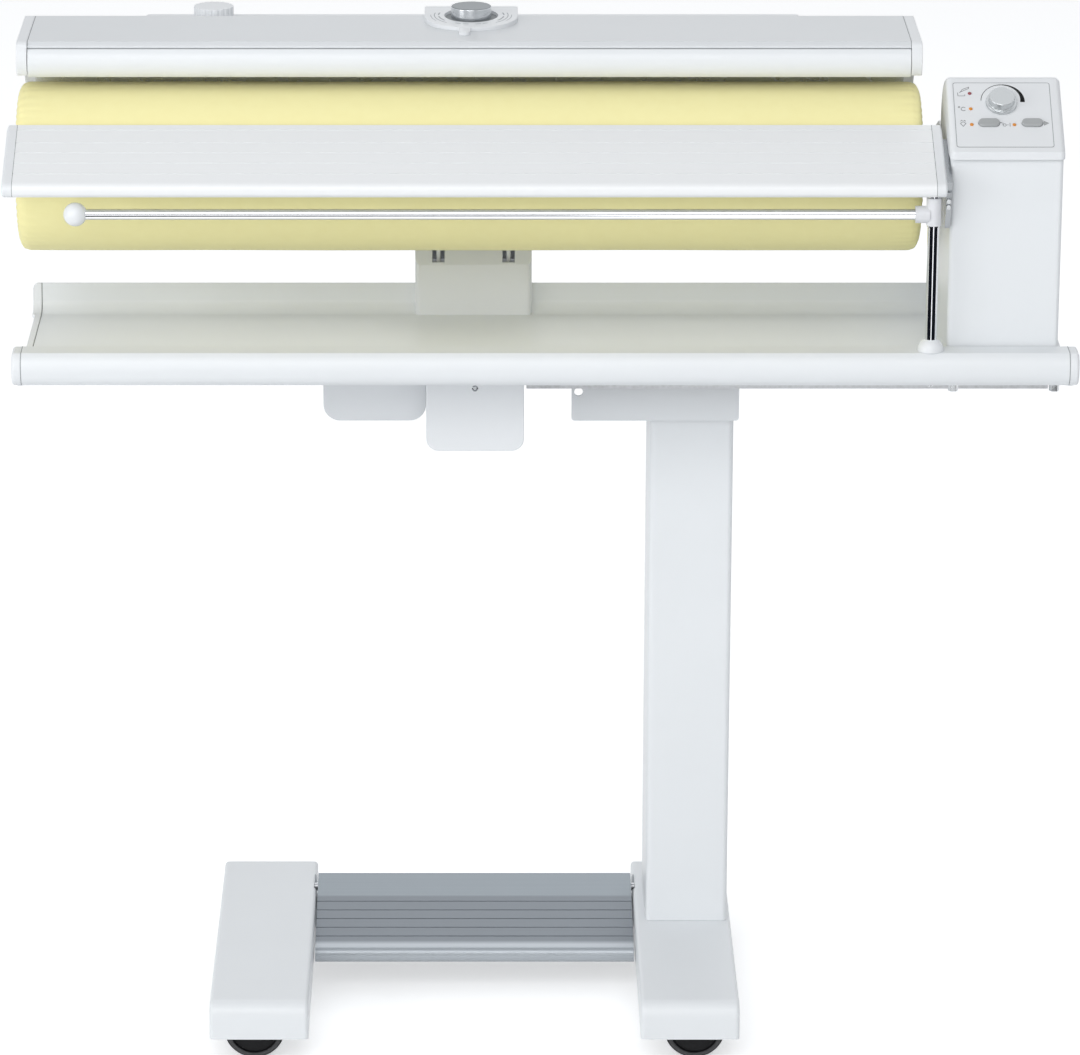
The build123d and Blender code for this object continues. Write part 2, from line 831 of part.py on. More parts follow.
with BuildPart() as feed_board:
    with BuildSketch(Plane.YZ.offset(board_left + board_cap)):
        with BuildLine():
            board_section(0.0)
        make_face()
        with Locations((roller_y, roller_z)):
            Circle(roller_radius + board_clearance, mode=Mode.SUBTRACT)
        for along in board_grooves:
            with Locations(Location((*board_point(along, 0), 0), (0, 0, board_slope))):
                Rectangle(groove_width, 2 * groove_depth, mode=Mode.SUBTRACT)
    extrude(amount=board_length - 2 * board_cap)
    with BuildSketch(Plane.YZ.offset(board_left + board_cap)):
        with BuildLine():
            board_section(board_wall)
        make_face()
        with Locations((roller_y, roller_z)):
            Circle(roller_radius + board_clearance + board_wall, mode=Mode.SUBTRACT)
    extrude(amount=board_length - 2 * board_cap, mode=Mode.SUBTRACT)


# Moulded end caps of the feed board with rounded outer edges
with BuildPart() as board_end_caps:
    for x, outward in ((board_left + board_cap, -1), (board_right - board_cap, 1)):
        with BuildSketch(Plane.YZ.offset(x)):
            with BuildLine():
                board_section(0.0)
            make_face()
            with Locations((roller_y, roller_z)):
                Circle(roller_radius + board_clearance, mode=Mode.SUBTRACT)
        extrude(amount=outward * board_cap)
    ends = board_end_caps.faces().filter_by(Axis.X).sort_by(Axis.X)
    fillet((ends[:1] + ends[-1:]).edges(), radius=2.5)

# Steel arm in the gap between the board and the housing
with BuildPart() as board_bracket:
    with BuildSketch(Plane.YZ.offset(board_right)):
        with BuildLine():
            Polyline(
                board_point(20, 3),
                board_point(board_depth - 4, 3),
                board_point(board_depth - 4, 11),
                (arm_face_y, roller_z + 8),
                (arm_face_y, roller_z - 12),
                (arm_face_y + 10, roller_z - 28),
                (arm_face_y + 22, roller_z - 28),
                (arm_face_y + 42, roller_z + 16),
                close=True,
            )
        make_face()
    extrude(amount=housing_left - board_right)
    with Locations((housing_left, head_front, housing_shoulder_z + 50.0)):
        Box(2 * (head_overhang + 0.3), 300.0, 100.0, mode=Mode.SUBTRACT)

# ================================================================ housing
with BuildPart() as housing:
    with BuildSketch(Plane.YZ.offset(housing_left)) as side:
        with BuildLine():
            Polyline(
                (housing_front, tray_floor_top),
                (housing_front, housing_shoulder_z),
                (housing_roof_break, housing_shoulder_z),
                (housing_back, housing_back_top),
                (housing_back, tray_floor_top),
                close=True,
            )
        make_face()
        fillet(side.vertices().sort_by(Axis.X)[-2:].sort_by(Axis.Y)[-1], radius=12.0)
    extrude(amount=housing_width)
    corners = housing.edges().filter_by(Axis.Z).group_by(Axis.Y)
    fillet(corners[0], radius=housing_edge)
    inner_roof = housing_shoulder_z - housing_wall
    with BuildSketch(Plane.YZ.offset(housing_left + housing_wall)):
        with BuildLine():
            Polyline(
                (housing_front + housing_wall, tray_floor_top),
                (housing_front + housing_wall, housing_shoulder_z),
                (housing_head_back - housing_wall, housing_shoulder_z),
                (housing_head_back - housing_wall, inner_roof),
                (housing_roof_break - 1, inner_roof),
                (housing_back - housing_wall - 6, housing_back_top - housing_wall - 1),
                (housing_back - housing_wall, housing_back_top - 14),
                (housing_back - housing_wall, tray_floor_top),
                close=True,
            )
        make_face()
    extrude(amount=housing_width - 2 * housing_wall, mode=Mode.SUBTRACT)
    with BuildSketch(Plane.YZ.offset(housing_left)):
        with Locations((roller_y, roller_z)):
            Circle(bearing_radius)
    extrude(amount=housing_wall, mode=Mode.SUBTRACT)

head_left = housing_left - head_overhang
head_width = housing_width + 2 * head_overhang
panel_x = head_left + head_width / 2
panel_foot = (head_front, housing_shoulder_z + 0.3 + head_lip)
crest = (head_crest_y, panel_foot[1] + (head_crest_y - panel_foot[0]) * tan(panel_angle))
panel_mid = (panel_mid_y, panel_foot[1] + (panel_mid_y - panel_foot[0]) * tan(panel_angle))
panel_plane = Plane(
    origin=(panel_x, *panel_mid),
    x_dir=(1, 0, 0),
    z_dir=(0, -sin(panel_angle), cos(panel_angle)),
)


def head_outline(inset):
    """Side view of the control head: lip, sloping panel and round back."""
    base = housing_shoulder_z + 0.3
    back_radius = housing_head_back - head_crest_y - inset
    top = crest[1] - inset
    front = Polyline(
        (housing_head_back - inset, base),
        (head_front + inset, base),
        (head_front + inset, panel_foot[1] - inset * (1 - tan(panel_angle))),
        (head_crest_y, top),
    )
    rear = CenterArc((head_crest_y, top - back_radius), back_radius, 0, 90)
    Line(rear @ 0, front @ 0)


with BuildPart() as control_head:
    with BuildSketch(Plane.YZ.offset(head_left)):
        with BuildLine():
            head_outline(0.0)
        make_face()
    extrude(amount=head_width)
    flanks = control_head.faces().filter_by(Axis.X)
    base_z = housing_shoulder_z + 1.0
    fillet(flanks.edges().filter_by(lambda e: e.center().Z > base_z), radius=5.0)
    with BuildSketch(Plane.YZ.offset(head_left + housing_wall)):
        with BuildLine():
            head_outline(housing_wall)
        make_face()
    extrude(amount=head_width - 2 * housing_wall, mode=Mode.SUBTRACT)
    with BuildSketch(panel_plane):
        with Locations((panel_shift, 0)):
            RectangleRounded(panel_width + 2 * panel_fit, panel_height + 2 * panel_fit, 2.0)
    extrude(amount=-panel_sheet, mode=Mode.SUBTRACT)
    with BuildSketch(panel_plane):
        with Locations((panel_shift, 0)):
            Rectangle(panel_width - 6, panel_height - 6)
    extrude(amount=-housing_wall - 3, mode=Mode.SUBTRACT)

# Flat panel with openings for the knob, the buttons and the lights
with BuildPart() as control_panel:
    with BuildSketch(panel_plane):
        with Locations((panel_shift, 0)):
            RectangleRounded(panel_width, panel_height, 2.0)
        with Locations((knob_u, knob_v)):
            Circle(knob_stem_radius + running_clearance, mode=Mode.SUBTRACT)
        for u in button_u:
            with Locations((u, button_v)):
                SlotOverall(button_length + 0.6, button_height + 0.6, mode=Mode.SUBTRACT)
        for place in light_places:
            with Locations(place):
                Circle(light_radius, mode=Mode.SUBTRACT)
    extrude(amount=-panel_sheet)

with BuildPart() as indicator_lights:
    with BuildSketch(panel_plane.offset(-panel_sheet - 5)):
        with Locations(*light_places):
            Circle(light_radius)
    extrude(amount=panel_sheet + 5.5)

with BuildPart() as circuit_board:
    board_plane = panel_plane.offset(-panel_sheet - 5)
    with BuildSketch(board_plane):
        with Locations((panel_shift, 0)):
            Rectangle(panel_width - 14, panel_height - 14)
    extrude(amount=-1.6)
    with BuildSketch(board_plane):
        with Locations((knob_u, knob_v)):
            Rectangle(16, 16)
            Circle(knob_stem_radius + running_clearance, mode=Mode.SUBTRACT)
    extrude(amount=3.0)
    with BuildSketch(board_plane):
        for x in (-1, 1):
            for y in (-1, 1):
                with Locations((panel_shift + x * (panel_width / 2 - 10), y * (panel_height / 2 - 10))):
                    Circle(3.0)
    extrude(amount=5.0)

with BuildPart() as speed_knob:
    with BuildSketch(panel_plane.offset(0.3)):
        with Locations((knob_u, knob_v)):
            Circle(knob_skirt_radius)
    extrude(amount=3.0, taper=12)
    with BuildSketch(panel_plane.offset(3.3)):
        with Locations((knob_u, knob_v)):
            Circle(knob_cap_radius + 1.0)
    extrude(amount=knob_height - 3.3, taper=5)
    top_face = speed_knob.faces().sort_by(Axis.Z)[-1]
    fillet(top_face.edges(), radius=1.0)
    with BuildSketch(panel_plane.offset(0.3)):
        with Locations((knob_u, knob_v)):
            Circle(knob_stem_radius)
    extrude(amount=-panel_sheet - 4.0)


def build_button(u):
    """Pill shaped key with a stem, free to sink into the panel."""
    with BuildPart() as button:
        with BuildSketch(panel_plane.offset(-panel_sheet)):
            with Locations((u, button_v)):
                SlotOverall(button_length, button_height)
        extrude(amount=panel_sheet + button_proud)
        crown = button.faces().sort_by(Axis.Z)[-1]
        fillet(crown.edges(), radius=1.0)
    return button


press_button = build_button(button_u[0])
power_button = build_button(button_u[1])


def build_gear(x, y, z, teeth, bore, phase):
    """Spur gear with straight flanked teeth on the given centre."""
    pitch = gear_module * teeth / 2
    root = pitch - 1.25 * gear_module
    tip = pitch + gear_module * 0.9
    with BuildPart() as gear:
        with BuildSketch(Plane.YZ.offset(x)):
            with Locations((y, z)):
                Circle(root)
            for i in range(teeth):
                turn = phase + 360.0 * i / teeth
                with BuildLine():
                    Polyline(
                        *[
                            (y + r * cos(radians(turn) + s * h / r), z + r * sin(radians(turn) + s * h / r))
                            for r, s, h in (
                                (root - 0.5, -1, gear_module * 0.95),
                                (pitch, -1, gear_module * 0.72),
                                (tip, -1, gear_module * 0.36),
                                (tip, 1, gear_module * 0.36),
                                (pitch, 1, gear_module * 0.72),
                                (root - 0.5, 1, gear_module * 0.95),
                            )
                        ],
                        close=True,
                    )
                make_face()
            with Locations((y, z)):
                Circle(bore, mode=Mode.SUBTRACT)
        extrude(amount=gear_width)
    return gear


pinion_drop = gear_module * (roller_gear_teeth + pinion_teeth) / 2
pinion_z = roller_z - pinion_drop
half_tooth = 180.0 / pinion_teeth
roller_gear = build_gear(gear_x, roller_y, roller_z, roller_gear_teeth, roller_shaft_radius, -90.0)
pinion_blank = build_gear(gear_x, roller_y, pinion_z, pinion_teeth, motor_shaft_radius, 90.0 + half_tooth)
motor_x = gear_x + gear_width + 8.0

# Pinion cut in one piece with the shaft of the motor's rotor
with BuildPart() as motor_pinion:
    add(pinion_blank.part)
    with BuildSketch(Plane.YZ.offset(gear_x)):
        with Locations((roller_y, pinion_z)):
            Circle(motor_shaft_radius)
    extrude(amount=motor_x + motor_shaft_depth - gear_x - 0.3)

with BuildPart() as roller_bearing:
    with BuildSketch(Plane.YZ.offset(housing_left)):
        with Locations((roller_y, roller_z)):
            Circle(bearing_radius)
            Circle(roller_shaft_radius + running_clearance, mode=Mode.SUBTRACT)
    extrude(amount=housing_wall)
    with BuildSketch(Plane.YZ.offset(housing_left + housing_wall)):
        with Locations((roller_y, roller_z)):
            Circle(bearing_flange)
            Circle(roller_shaft_radius + running_clearance, mode=Mode.SUBTRACT)
    extrude(amount=3.0)

with BuildPart() as drive_motor:
    with BuildSketch(Plane.YZ.offset(motor_x)):
        with Locations((roller_y, pinion_z)):
            Circle(motor_radius)
    extrude(amount=motor_length)
    with BuildSketch(Plane.YZ.offset(motor_x)):
        with Locations((roller_y, pinion_z)):
            Circle(12.0)
            Circle(motor_shaft_radius + running_clearance, mode=Mode.SUBTRACT)
    extrude(amount=-3.0)
    with BuildSketch(Plane.YZ.offset(motor_x)):
        with Locations((roller_y, pinion_z)):
            Circle(motor_shaft_radius + running_clearance)
    extrude(amount=motor_shaft_depth, mode=Mode.SUBTRACT)

# Angled sheet that holds the motor up from the tray
with BuildPart() as motor_bracket:
    mount_width = 2 * (motor_radius + motor_mount_margin)
    mount_height = pinion_z - motor_radius + 10 - tray_floor_top
    mount_x = motor_x + motor_mount_inset
    with Locations((mount_x, roller_y, tray_floor_top + mount_height / 2)):
        Box(motor_mount_sheet, mount_width, mount_height)
    foot_x = mount_x + (motor_mount_foot - motor_mount_sheet) / 2 + 0.5
    with Locations((foot_x, roller_y, tray_floor_top + motor_mount_sheet / 2)):
        Box(motor_mount_foot, mount_width, motor_mount_sheet)
    with BuildSketch(Plane.YZ.offset(motor_x)):
        with Locations((roller_y, pinion_z)):
            Circle(motor_radius)
    extrude(amount=motor_length, mode=Mode.SUBTRACT)

# ================================================================ roller
core_left = roller_left + padding_lip
core_right = roller_right - padding_lip

# Steel tube with a welded disc inside each end
with BuildPart() as roller_core:
    with BuildSketch(Plane.YZ.offset(core_left)):
        with Locations((roller_y, roller_z)):
            Circle(core_radius - core_fit)
            Circle(core_radius - core_fit - core_wall, mode=Mode.SUBTRACT)
    extrude(amount=core_right - core_left)
    for x in (core_left + end_disc_inset, core_right - end_disc_inset - end_disc):
        with BuildSketch(Plane.YZ.offset(x)):
            with Locations((roller_y, roller_z)):
                Circle(core_radius - core_fit)
                Circle(roller_shaft_radius, mode=Mode.SUBTRACT)
        extrude(amount=end_disc)

with BuildPart() as roller_shaft:
    shaft_start = core_left + end_disc_inset - 2.0
    with BuildSketch(Plane.YZ.offset(shaft_start)):
        with Locations((roller_y, roller_z)):
            Circle(roller_shaft_radius)
    extrude(amount=gear_x + gear_width + 2.0 - shaft_start)

# Padded cloth cover, drawn in over both ends of the core
with BuildPart() as roller_padding:
    with BuildSketch(Plane.XZ.offset(-roller_y)) as half_section:
        with BuildLine():
            Polyline(
                (roller_left, roller_z + padding_lip_radius),
                (roller_left, roller_z + roller_radius),
                (roller_right, roller_z + roller_radius),
                (roller_right, roller_z + padding_lip_radius),
                (core_right, roller_z + padding_lip_radius),
                (core_right, roller_z + core_radius),
                (core_left, roller_z + core_radius),
                (core_left, roller_z + padding_lip_radius),
                close=True,
            )
        make_face()
        shoulders = half_section.vertices().filter_by(
            lambda v: abs(v.Y - roller_z - roller_radius) < 0.01
        )
        fillet(shoulders, radius=padding_shoulder)
    revolve(axis=Axis((0, roller_y, roller_z), (1, 0, 0)))

# ================================================================ heater
cover_left = roller_left + cover_cap
cover_right = roller_right - cover_cap
cover_length = cover_right - cover_left

with BuildPart() as mould:
    sweep_angle = mould_front_angle - mould_back_angle
    with BuildSketch(Plane.YZ.offset(cover_left)):
        with BuildLine():
            inner = CenterArc((mould_y, mould_z), mould_inner, mould_back_angle, sweep_angle)
            outer = CenterArc((mould_y, mould_z), mould_outer, mould_back_angle, sweep_angle)
            Line(inner @ 0, outer @ 0)
            Line(inner @ 1, outer @ 1)
        make_face()
    extrude(amount=cover_length)

with BuildPart() as heating_elements:
    reach = mould_outer + element_radius
    for angle in element_angles:
        a = radians(angle)
        with BuildSketch(Plane.YZ.offset(cover_left + 12)):
            with Locations((mould_y + reach * cos(a), mould_z + reach * sin(a))):
                Circle(element_radius)
        extrude(amount=cover_length - 24)


def cover_line(inset):
    """Outer line of the hood from its front edge round to its lower lip."""
    back = cover_back - inset
    top = cover_top - inset
    low = cover_bottom + inset
    Line((cover_front + 3.0, guard_top + 0.5), (cover_front + 3.0, top - 3.0))
    Line((cover_front + 3.0, top - 3.0), (cover_front + 6.0, top))
    Line((cover_front + 6.0, top), (cover_back - cover_shoulder, top))
    RadiusArc(
        (cover_back - cover_shoulder, top), (back, cover_top - cover_shoulder), cover_shoulder - inset
    )
    Line((back, cover_top - cover_shoulder), (back, cover_bottom + cover_lip))
    RadiusArc((back, cover_bottom + cover_lip), (cover_back - cover_lip, low), cover_lip - inset)
    Line((cover_back - cover_lip, low), (mould_y + mould_outer - cover_lip, low))


with BuildPart() as heater_cover:
    with BuildSketch(Plane.YZ.offset(cover_left)):
        with BuildLine() as hood:
            cover_line(cover_sheet / 2)
        trace(hood.line, line_width=cover_sheet)
    extrude(amount=cover_length)


# End plates of the hood with the same outline as its whole section
with BuildPart() as cover_end_caps:
    for x, outward in ((cover_left, -1), (cover_right, 1)):
        with BuildSketch(Plane.YZ.offset(x)):
            with BuildLine():
                Line((cover_front + 6.0, cover_top), (cover_back - cover_shoulder, cover_top))
                RadiusArc(
                    (cover_back - cover_shoulder, cover_top),
                    (cover_back, cover_top - cover_shoulder),
                    cover_shoulder,
                )
                Line((cover_back, cover_top - cover_shoulder), (cover_back, cover_bottom + cover_lip))
                RadiusArc(
                    (cover_back, cover_bottom + cover_lip),
                    (cover_back - cover_lip, cover_bottom),
                    cover_lip,
                )
                Polyline(
                    (cover_back - cover_lip, cover_bottom),
                    (mould_y + mould_inner * 0.85, cover_bottom),
                    (mould_y, mould_z),
                    (cover_front + 2.0, guard_bottom),
                )
                ThreePointArc(
                    (cover_front + 2.0, guard_bottom),
                    (guard_front, (guard_top + guard_bottom) / 2),
                    (cover_front, cover_top - 4.5),
                )
                ThreePointArc(
                    (cover_front, cover_top - 4.5),
                    (cover_front + 2.0, cover_top - 1.2),
                    (cover_front + 6.0, cover_top),
                )
            make_face()
            with Locations((mould_y, mould_z)):
                Circle(mould_inner + mould_wall / 2, mode=Mode.SUBTRACT)
        extrude(amount=outward * cover_cap)
        with BuildSketch(Plane.YZ.offset(x)):
            with Locations((guard_back - 3.0, guard_top - 5.0)):
                Circle(guard_pin_radius + running_clearance)
        extrude(amount=outward * 5.0, mode=Mode.SUBTRACT)

# Hinged strip along the front edge that stops the machine when pushed
with BuildPart() as finger_guard:
    with BuildSketch(Plane.YZ.offset(cover_left + 0.5)):
        with BuildLine():
            Polyline(
                (cover_front + 1.0, guard_top),
                (guard_back, guard_top),
                (guard_back - 3.0, guard_bottom + 2.0),
                (cover_front + 2.0, guard_bottom),
            )
            ThreePointArc(
                (cover_front + 2.0, guard_bottom),
                (guard_front, (guard_top + guard_bottom) / 2),
                (cover_front + 1.0, guard_top),
            )
        make_face()
    extrude(amount=cover_length - 1.0)
    with BuildSketch(Plane.YZ.offset(cover_left - 4.0)):
        with Locations((guard_back - 3.0, guard_top - 5.0)):
            Circle(guard_pin_radius)
    extrude(amount=cover_length + 8.0)

# Two cheeks and a back plate that carry the hood on the pivot pin
with BuildPart() as press_arm:
    for x in (press_x - arm_half, press_x + arm_half - arm_plate):
        with BuildSketch(Plane.YZ.offset(x)):
            with BuildLine():
                Polyline(
                    (press_y - arm_hub_radius, press_z),
                    (press_y + arm_hub_radius, press_z),
                    (press_y + 2, arm_top),
                    (cover_back, arm_top),
                    (cover_back, arm_top - arm_web_height),
                    close=True,
                )
            make_face()
            with Locations((press_y, press_z)):
                Circle(arm_hub_radius)
                Circle(press_pin_radius + running_clearance, mode=Mode.SUBTRACT)
        extrude(amount=arm_plate)
    with Locations((press_x, cover_back + arm_plate / 2, arm_top - arm_web_height / 2)):
        Box(2 * arm_half, arm_plate, arm_web_height)

with BuildPart() as steam_tank:
    with BuildSketch(Plane.YZ.offset(tank_left)) as end:
        with Locations(((cover_back + tank_back) / 2, (tank_bottom + tank_top) / 2)):
            Rectangle(tank_back - cover_back, tank_top - tank_bottom)
        fillet(end.vertices().sort_by(Axis.X)[-2:], radius=14.0)
    extrude(amount=tank_length)
    ends = steam_tank.faces().filter_by(Axis.X)
    fillet(ends.edges().filter_by(lambda e: e.center().Y > cover_back + 1), radius=4.0)
    with BuildSketch(Plane.XY.offset(tank_top)):
        with Locations((filler_x, filler_y)):
            Circle(neck_radius)
            Circle(neck_radius - 2.5, mode=Mode.SUBTRACT)
    extrude(amount=neck_height)

with BuildPart() as filler_cap:
    with BuildSketch(Plane.XY.offset(tank_top + 2.5)):
        with Locations((filler_x, filler_y)):
            Circle(filler_radius)
            with PolarLocations(filler_radius + 0.6, 20):
                Circle(1.6, mode=Mode.SUBTRACT)
    extrude(amount=filler_top - tank_top - 2.5)
    fillet(filler_cap.faces().sort_by(Axis.Z)[-1].edges(), radius=0.8)
    with BuildSketch(Plane.XY.offset(tank_top + 2.5)):
        with Locations((filler_x, filler_y)):
            Circle(neck_radius + running_clearance)
    extrude(amount=neck_height - 2.2, mode=Mode.SUBTRACT)

# D shaped pad on the hood, a little higher at the back, with a recess for the dial
with BuildPart() as dial_plate:
    half = dial_plate_width / 2
    pad_front = dial_y - half
    shoulder_y = cover_back - cover_shoulder
    shoulder_z = cover_top - cover_shoulder
    skirt_z = cover_top - dial_plate_skirt
    skirt_angle = asin((skirt_z - shoulder_z) / cover_shoulder)
    mid_angle = (skirt_angle + pi / 2) / 2
    with BuildSketch(Plane.YZ.offset(dial_x - half)):
        with BuildLine():
            skirt_y = shoulder_y + cover_shoulder * cos(skirt_angle)
            Polyline(
                (shoulder_y, cover_top),
                (pad_front, cover_top),
                (pad_front, cover_top + dial_plate_front_rise),
                (dial_plate_back, cover_top + dial_plate_back_rise),
                (dial_plate_back, skirt_z),
                (skirt_y, skirt_z),
            )
            ThreePointArc(
                (skirt_y, skirt_z),
                (
                    shoulder_y + cover_shoulder * cos(mid_angle),
                    shoulder_z + cover_shoulder * sin(mid_angle),
                ),
                (shoulder_y, cover_top),
            )
        make_face()
    extrude(amount=2 * half)
    with BuildSketch(Plane.XY.offset(cover_top - 20)) as pad:
        with BuildLine():
            Polyline(
                (dial_x - half, dial_y),
                (dial_x - half, dial_plate_back),
                (dial_x + half, dial_plate_back),
                (dial_x + half, dial_y),
            )
            ThreePointArc((dial_x + half, dial_y), (dial_x, pad_front), (dial_x - half, dial_y))
        make_face()
        fillet(pad.vertices().group_by(Axis.Y)[-1], radius=2.0)
    extrude(amount=40.0, mode=Mode.INTERSECT)
    fillet(dial_plate.faces().sort_by(Axis.Z)[-1].edges(), radius=0.8)
    with BuildSketch(Plane.XY.offset(cover_top + dial_floor_rise)):
        with Locations((dial_x, dial_y)):
            Circle(dial_recess_radius)
    extrude(amount=10.0, mode=Mode.SUBTRACT)
    with BuildSketch(Plane.XY.offset(cover_top)):
        with Locations((dial_x, dial_y)):
            Circle(dial_stem_radius)
    extrude(amount=dial_stem_height)
    with BuildSketch(Plane.XY.offset(cover_top)):
        with Locations((dial_x + tongue_offset, pad_front - tongue_reach)):
            Circle(tongue_radius)
        with Locations((dial_x + tongue_offset, pad_front - tongue_reach / 2 + 1)):
            Rectangle(2 * tongue_radius, tongue_reach + 2)
    extrude(amount=tongue_height)

with BuildPart() as steam_dial:
    dial_base = cover_top + dial_floor_rise + dial_clearance
    with BuildSketch(Plane.XY.offset(dial_base)):
        with Locations((dial_x, dial_y)):
            Circle(dial_radius)
    extrude(amount=dial_top - dial_base)
    fillet(steam_dial.faces().sort_by(Axis.Z)[-1].edges(), radius=1.2)
    with BuildSketch(Plane.XY.offset(dial_base)):
        with Locations((dial_x, dial_y)):
            Circle(dial_stem_radius + running_clearance)
    extrude(amount=dial_stem_height - dial_floor_rise, mode=Mode.SUBTRACT)

# ================================================================ laundry rail
with BuildPart() as rail_post:
    with BuildSketch(Plane.XY.offset(tray_nose_top)):
        with Locations((post_x, post_y)):
            Circle(post_radius)
    extrude(amount=post_top - tray_nose_top)
    with BuildSketch(Plane.XY.offset(sleeve_top - sleeve_height - 0.3)):
        with Locations((post_x, post_y)):
            Circle(post_radius + 0.9)
    extrude(amount=-1.0)

with BuildPart() as post_base:
    with BuildSketch(Plane.XZ.offset(-post_y)):
        with BuildLine():
            Line((post_x + post_radius, tray_nose_top), (post_x + post_base_radius, tray_nose_top))
            up = (post_base_radius**2 - post_radius**2) ** 0.5
            ThreePointArc(
                (post_x + post_base_radius, tray_nose_top),
                (
                    post_x + post_base_radius * cos(pi / 5),
                    tray_nose_top + post_base_radius * sin(pi / 5),
                ),
                (post_x + post_radius, tray_nose_top + up),
            )
            Line((post_x + post_radius, tray_nose_top + up), (post_x + post_radius, tray_nose_top))
        make_face()
    revolve(axis=Axis((post_x, post_y, 0), (0, 0, 1)))

with BuildPart() as rail_sleeve:
    with BuildSketch(Plane.XY.offset(sleeve_top - sleeve_height)):
        with Locations((post_x, post_y)):
            Circle(sleeve_radius)
    extrude(amount=sleeve_height)
    with BuildSketch(Plane.YZ.offset(post_x - sleeve_radius - tee_length + 3.0)):
        with Locations((post_y, rail_z)):
            Circle(tee_radius)
    extrude(amount=tee_length)
    with BuildSketch(Plane.XY.offset(sleeve_top - sleeve_height)):
        with Locations((post_x, post_y)):
            Circle(post_radius + running_clearance)
    extrude(amount=sleeve_height, mode=Mode.SUBTRACT)

tee_face = post_x - sleeve_radius - tee_length + 3.0
with BuildPart() as laundry_rail:
    with BuildSketch(Plane.YZ.offset(rail_left)):
        with Locations((post_y, rail_z)):
            Circle(rail_radius)
    extrude(amount=tee_face - rail_left)

with BuildPart() as rail_ball:
    with Locations((rail_left, post_y, rail_z)):
        Sphere(rail_ball_radius)
    with BuildSketch(Plane.YZ.offset(rail_left - ball_fit)):
        with Locations((post_y, rail_z)):
            Circle(rail_radius + ball_fit)
    extrude(amount=2 * rail_ball_radius, mode=Mode.SUBTRACT)

# ================================================================ fixings
# Nuts under the front rail and the two screws of the board's arm
with BuildPart() as fixings:
    for x, radius, drop in (
        (post_x, 3.0, 4.0),
        (housing_left + 6.0, 5.0, 8.0),
        (housing_right - 4.0, 5.0, 8.0),
    ):
        with BuildSketch(Plane.XY.offset(tray_nose_bottom - drop)):
            with Locations((x, post_y)):
                RegularPolygon(radius, 6)
        extrude(amount=drop)
    for z in arm_screws:
        with BuildSketch(Plane.XZ.offset(-arm_face_y)):
            with Locations(((board_right + housing_left) / 2, z)):
                Circle(arm_screw_radius)
        extrude(amount=2.0)

# ================================================================ output
pieces = {
    "left_foot": left_foot,
    "right_foot": right_foot,
    "wheel_brackets": wheel_brackets,
    "wheel_axles": wheel_axles,
    "cross_beam": cross_beam,
    "pedal_rod": pedal_rod,
    "pedal_plate": pedal_plate_part,
    "column": column,
    "column_collar": column_collar,
    "fold_bracket": fold_bracket,
    "fold_pin": fold_pin,
    "tray": tray,
    "tray_end_caps": tray_end_caps,
    "hinge_plate": hinge_plate,
    "chassis_rails": chassis_rails,
    "lift_cover_left": lift_cover_left,
    "lift_cover_right": lift_cover_right,
    "lift_motor": lift_motor,
    "press_cover": press_cover,
    "press_pin": press_pin,
    "feed_board": feed_board,
    "board_end_caps": board_end_caps,
    "board_bracket": board_bracket,
    "housing": housing,
    "control_head": control_head,
    "control_panel": control_panel,
    "indicator_lights": indicator_lights,
    "circuit_board": circuit_board,
    "speed_knob": speed_knob,
    "press_button": press_button,
    "power_button": power_button,
    "roller_gear": roller_gear,
    "motor_pinion": motor_pinion,
    "roller_bearing": roller_bearing,
    "drive_motor": drive_motor,
    "motor_bracket": motor_bracket,
    "roller_core": roller_core,
    "roller_shaft": roller_shaft,
    "roller_padding": roller_padding,
    "mould": mould,
    "heating_elements": heating_elements,
    "heater_cover": heater_cover,
    "cover_end_caps": cover_end_caps,
    "finger_guard": finger_guard,
    "press_arm": press_arm,
    "steam_tank": steam_tank,
    "filler_cap": filler_cap,
    "dial_plate": dial_plate,
    "steam_dial": steam_dial,
    "rail_post": rail_post,
    "post_base": post_base,
    "rail_sleeve": rail_sleeve,
    "laundry_rail": laundry_rail,
    "rail_ball": rail_ball,
    "fixings": fixings,
}
for site, wheel in wheels.items():
    pieces[f"{site}_wheel"] = wheel

for name, piece in pieces.items():
    piece.part.label = name
    export_step(piece.part, f"parts/{name}.step")
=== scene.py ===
"""A rotary ironer on its folding stand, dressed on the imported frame."""
from math import atan2, cos, hypot, pi, radians, sin

import bmesh
import bpy
from mathutils import Euler, Matrix, Vector


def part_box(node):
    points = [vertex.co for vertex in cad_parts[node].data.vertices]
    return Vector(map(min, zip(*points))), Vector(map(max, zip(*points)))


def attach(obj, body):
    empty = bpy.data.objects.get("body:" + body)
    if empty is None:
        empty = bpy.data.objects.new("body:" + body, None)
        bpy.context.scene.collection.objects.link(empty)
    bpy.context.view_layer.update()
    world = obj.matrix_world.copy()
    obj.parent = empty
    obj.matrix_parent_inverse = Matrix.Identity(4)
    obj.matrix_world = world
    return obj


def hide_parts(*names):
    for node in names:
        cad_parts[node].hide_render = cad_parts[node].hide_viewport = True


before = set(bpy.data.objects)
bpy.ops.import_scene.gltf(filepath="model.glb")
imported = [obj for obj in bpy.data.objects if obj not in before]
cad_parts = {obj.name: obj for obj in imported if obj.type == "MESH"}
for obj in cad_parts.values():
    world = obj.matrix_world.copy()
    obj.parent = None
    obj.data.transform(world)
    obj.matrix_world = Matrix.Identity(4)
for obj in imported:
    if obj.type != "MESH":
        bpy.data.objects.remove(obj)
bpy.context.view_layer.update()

# ---------------------------------------------------------------- camera
# A long lens, a little above the machine and square to its front, tilted down to the middle of
# the column. The small shift puts the machine where it stands in the picture.
lens_data = bpy.data.cameras.new("camera")
lens_data.sensor_width = 36.0
lens_data.lens = 189.17
lens_data.shift_x = 0.063
camera = bpy.data.objects.new("camera", lens_data)
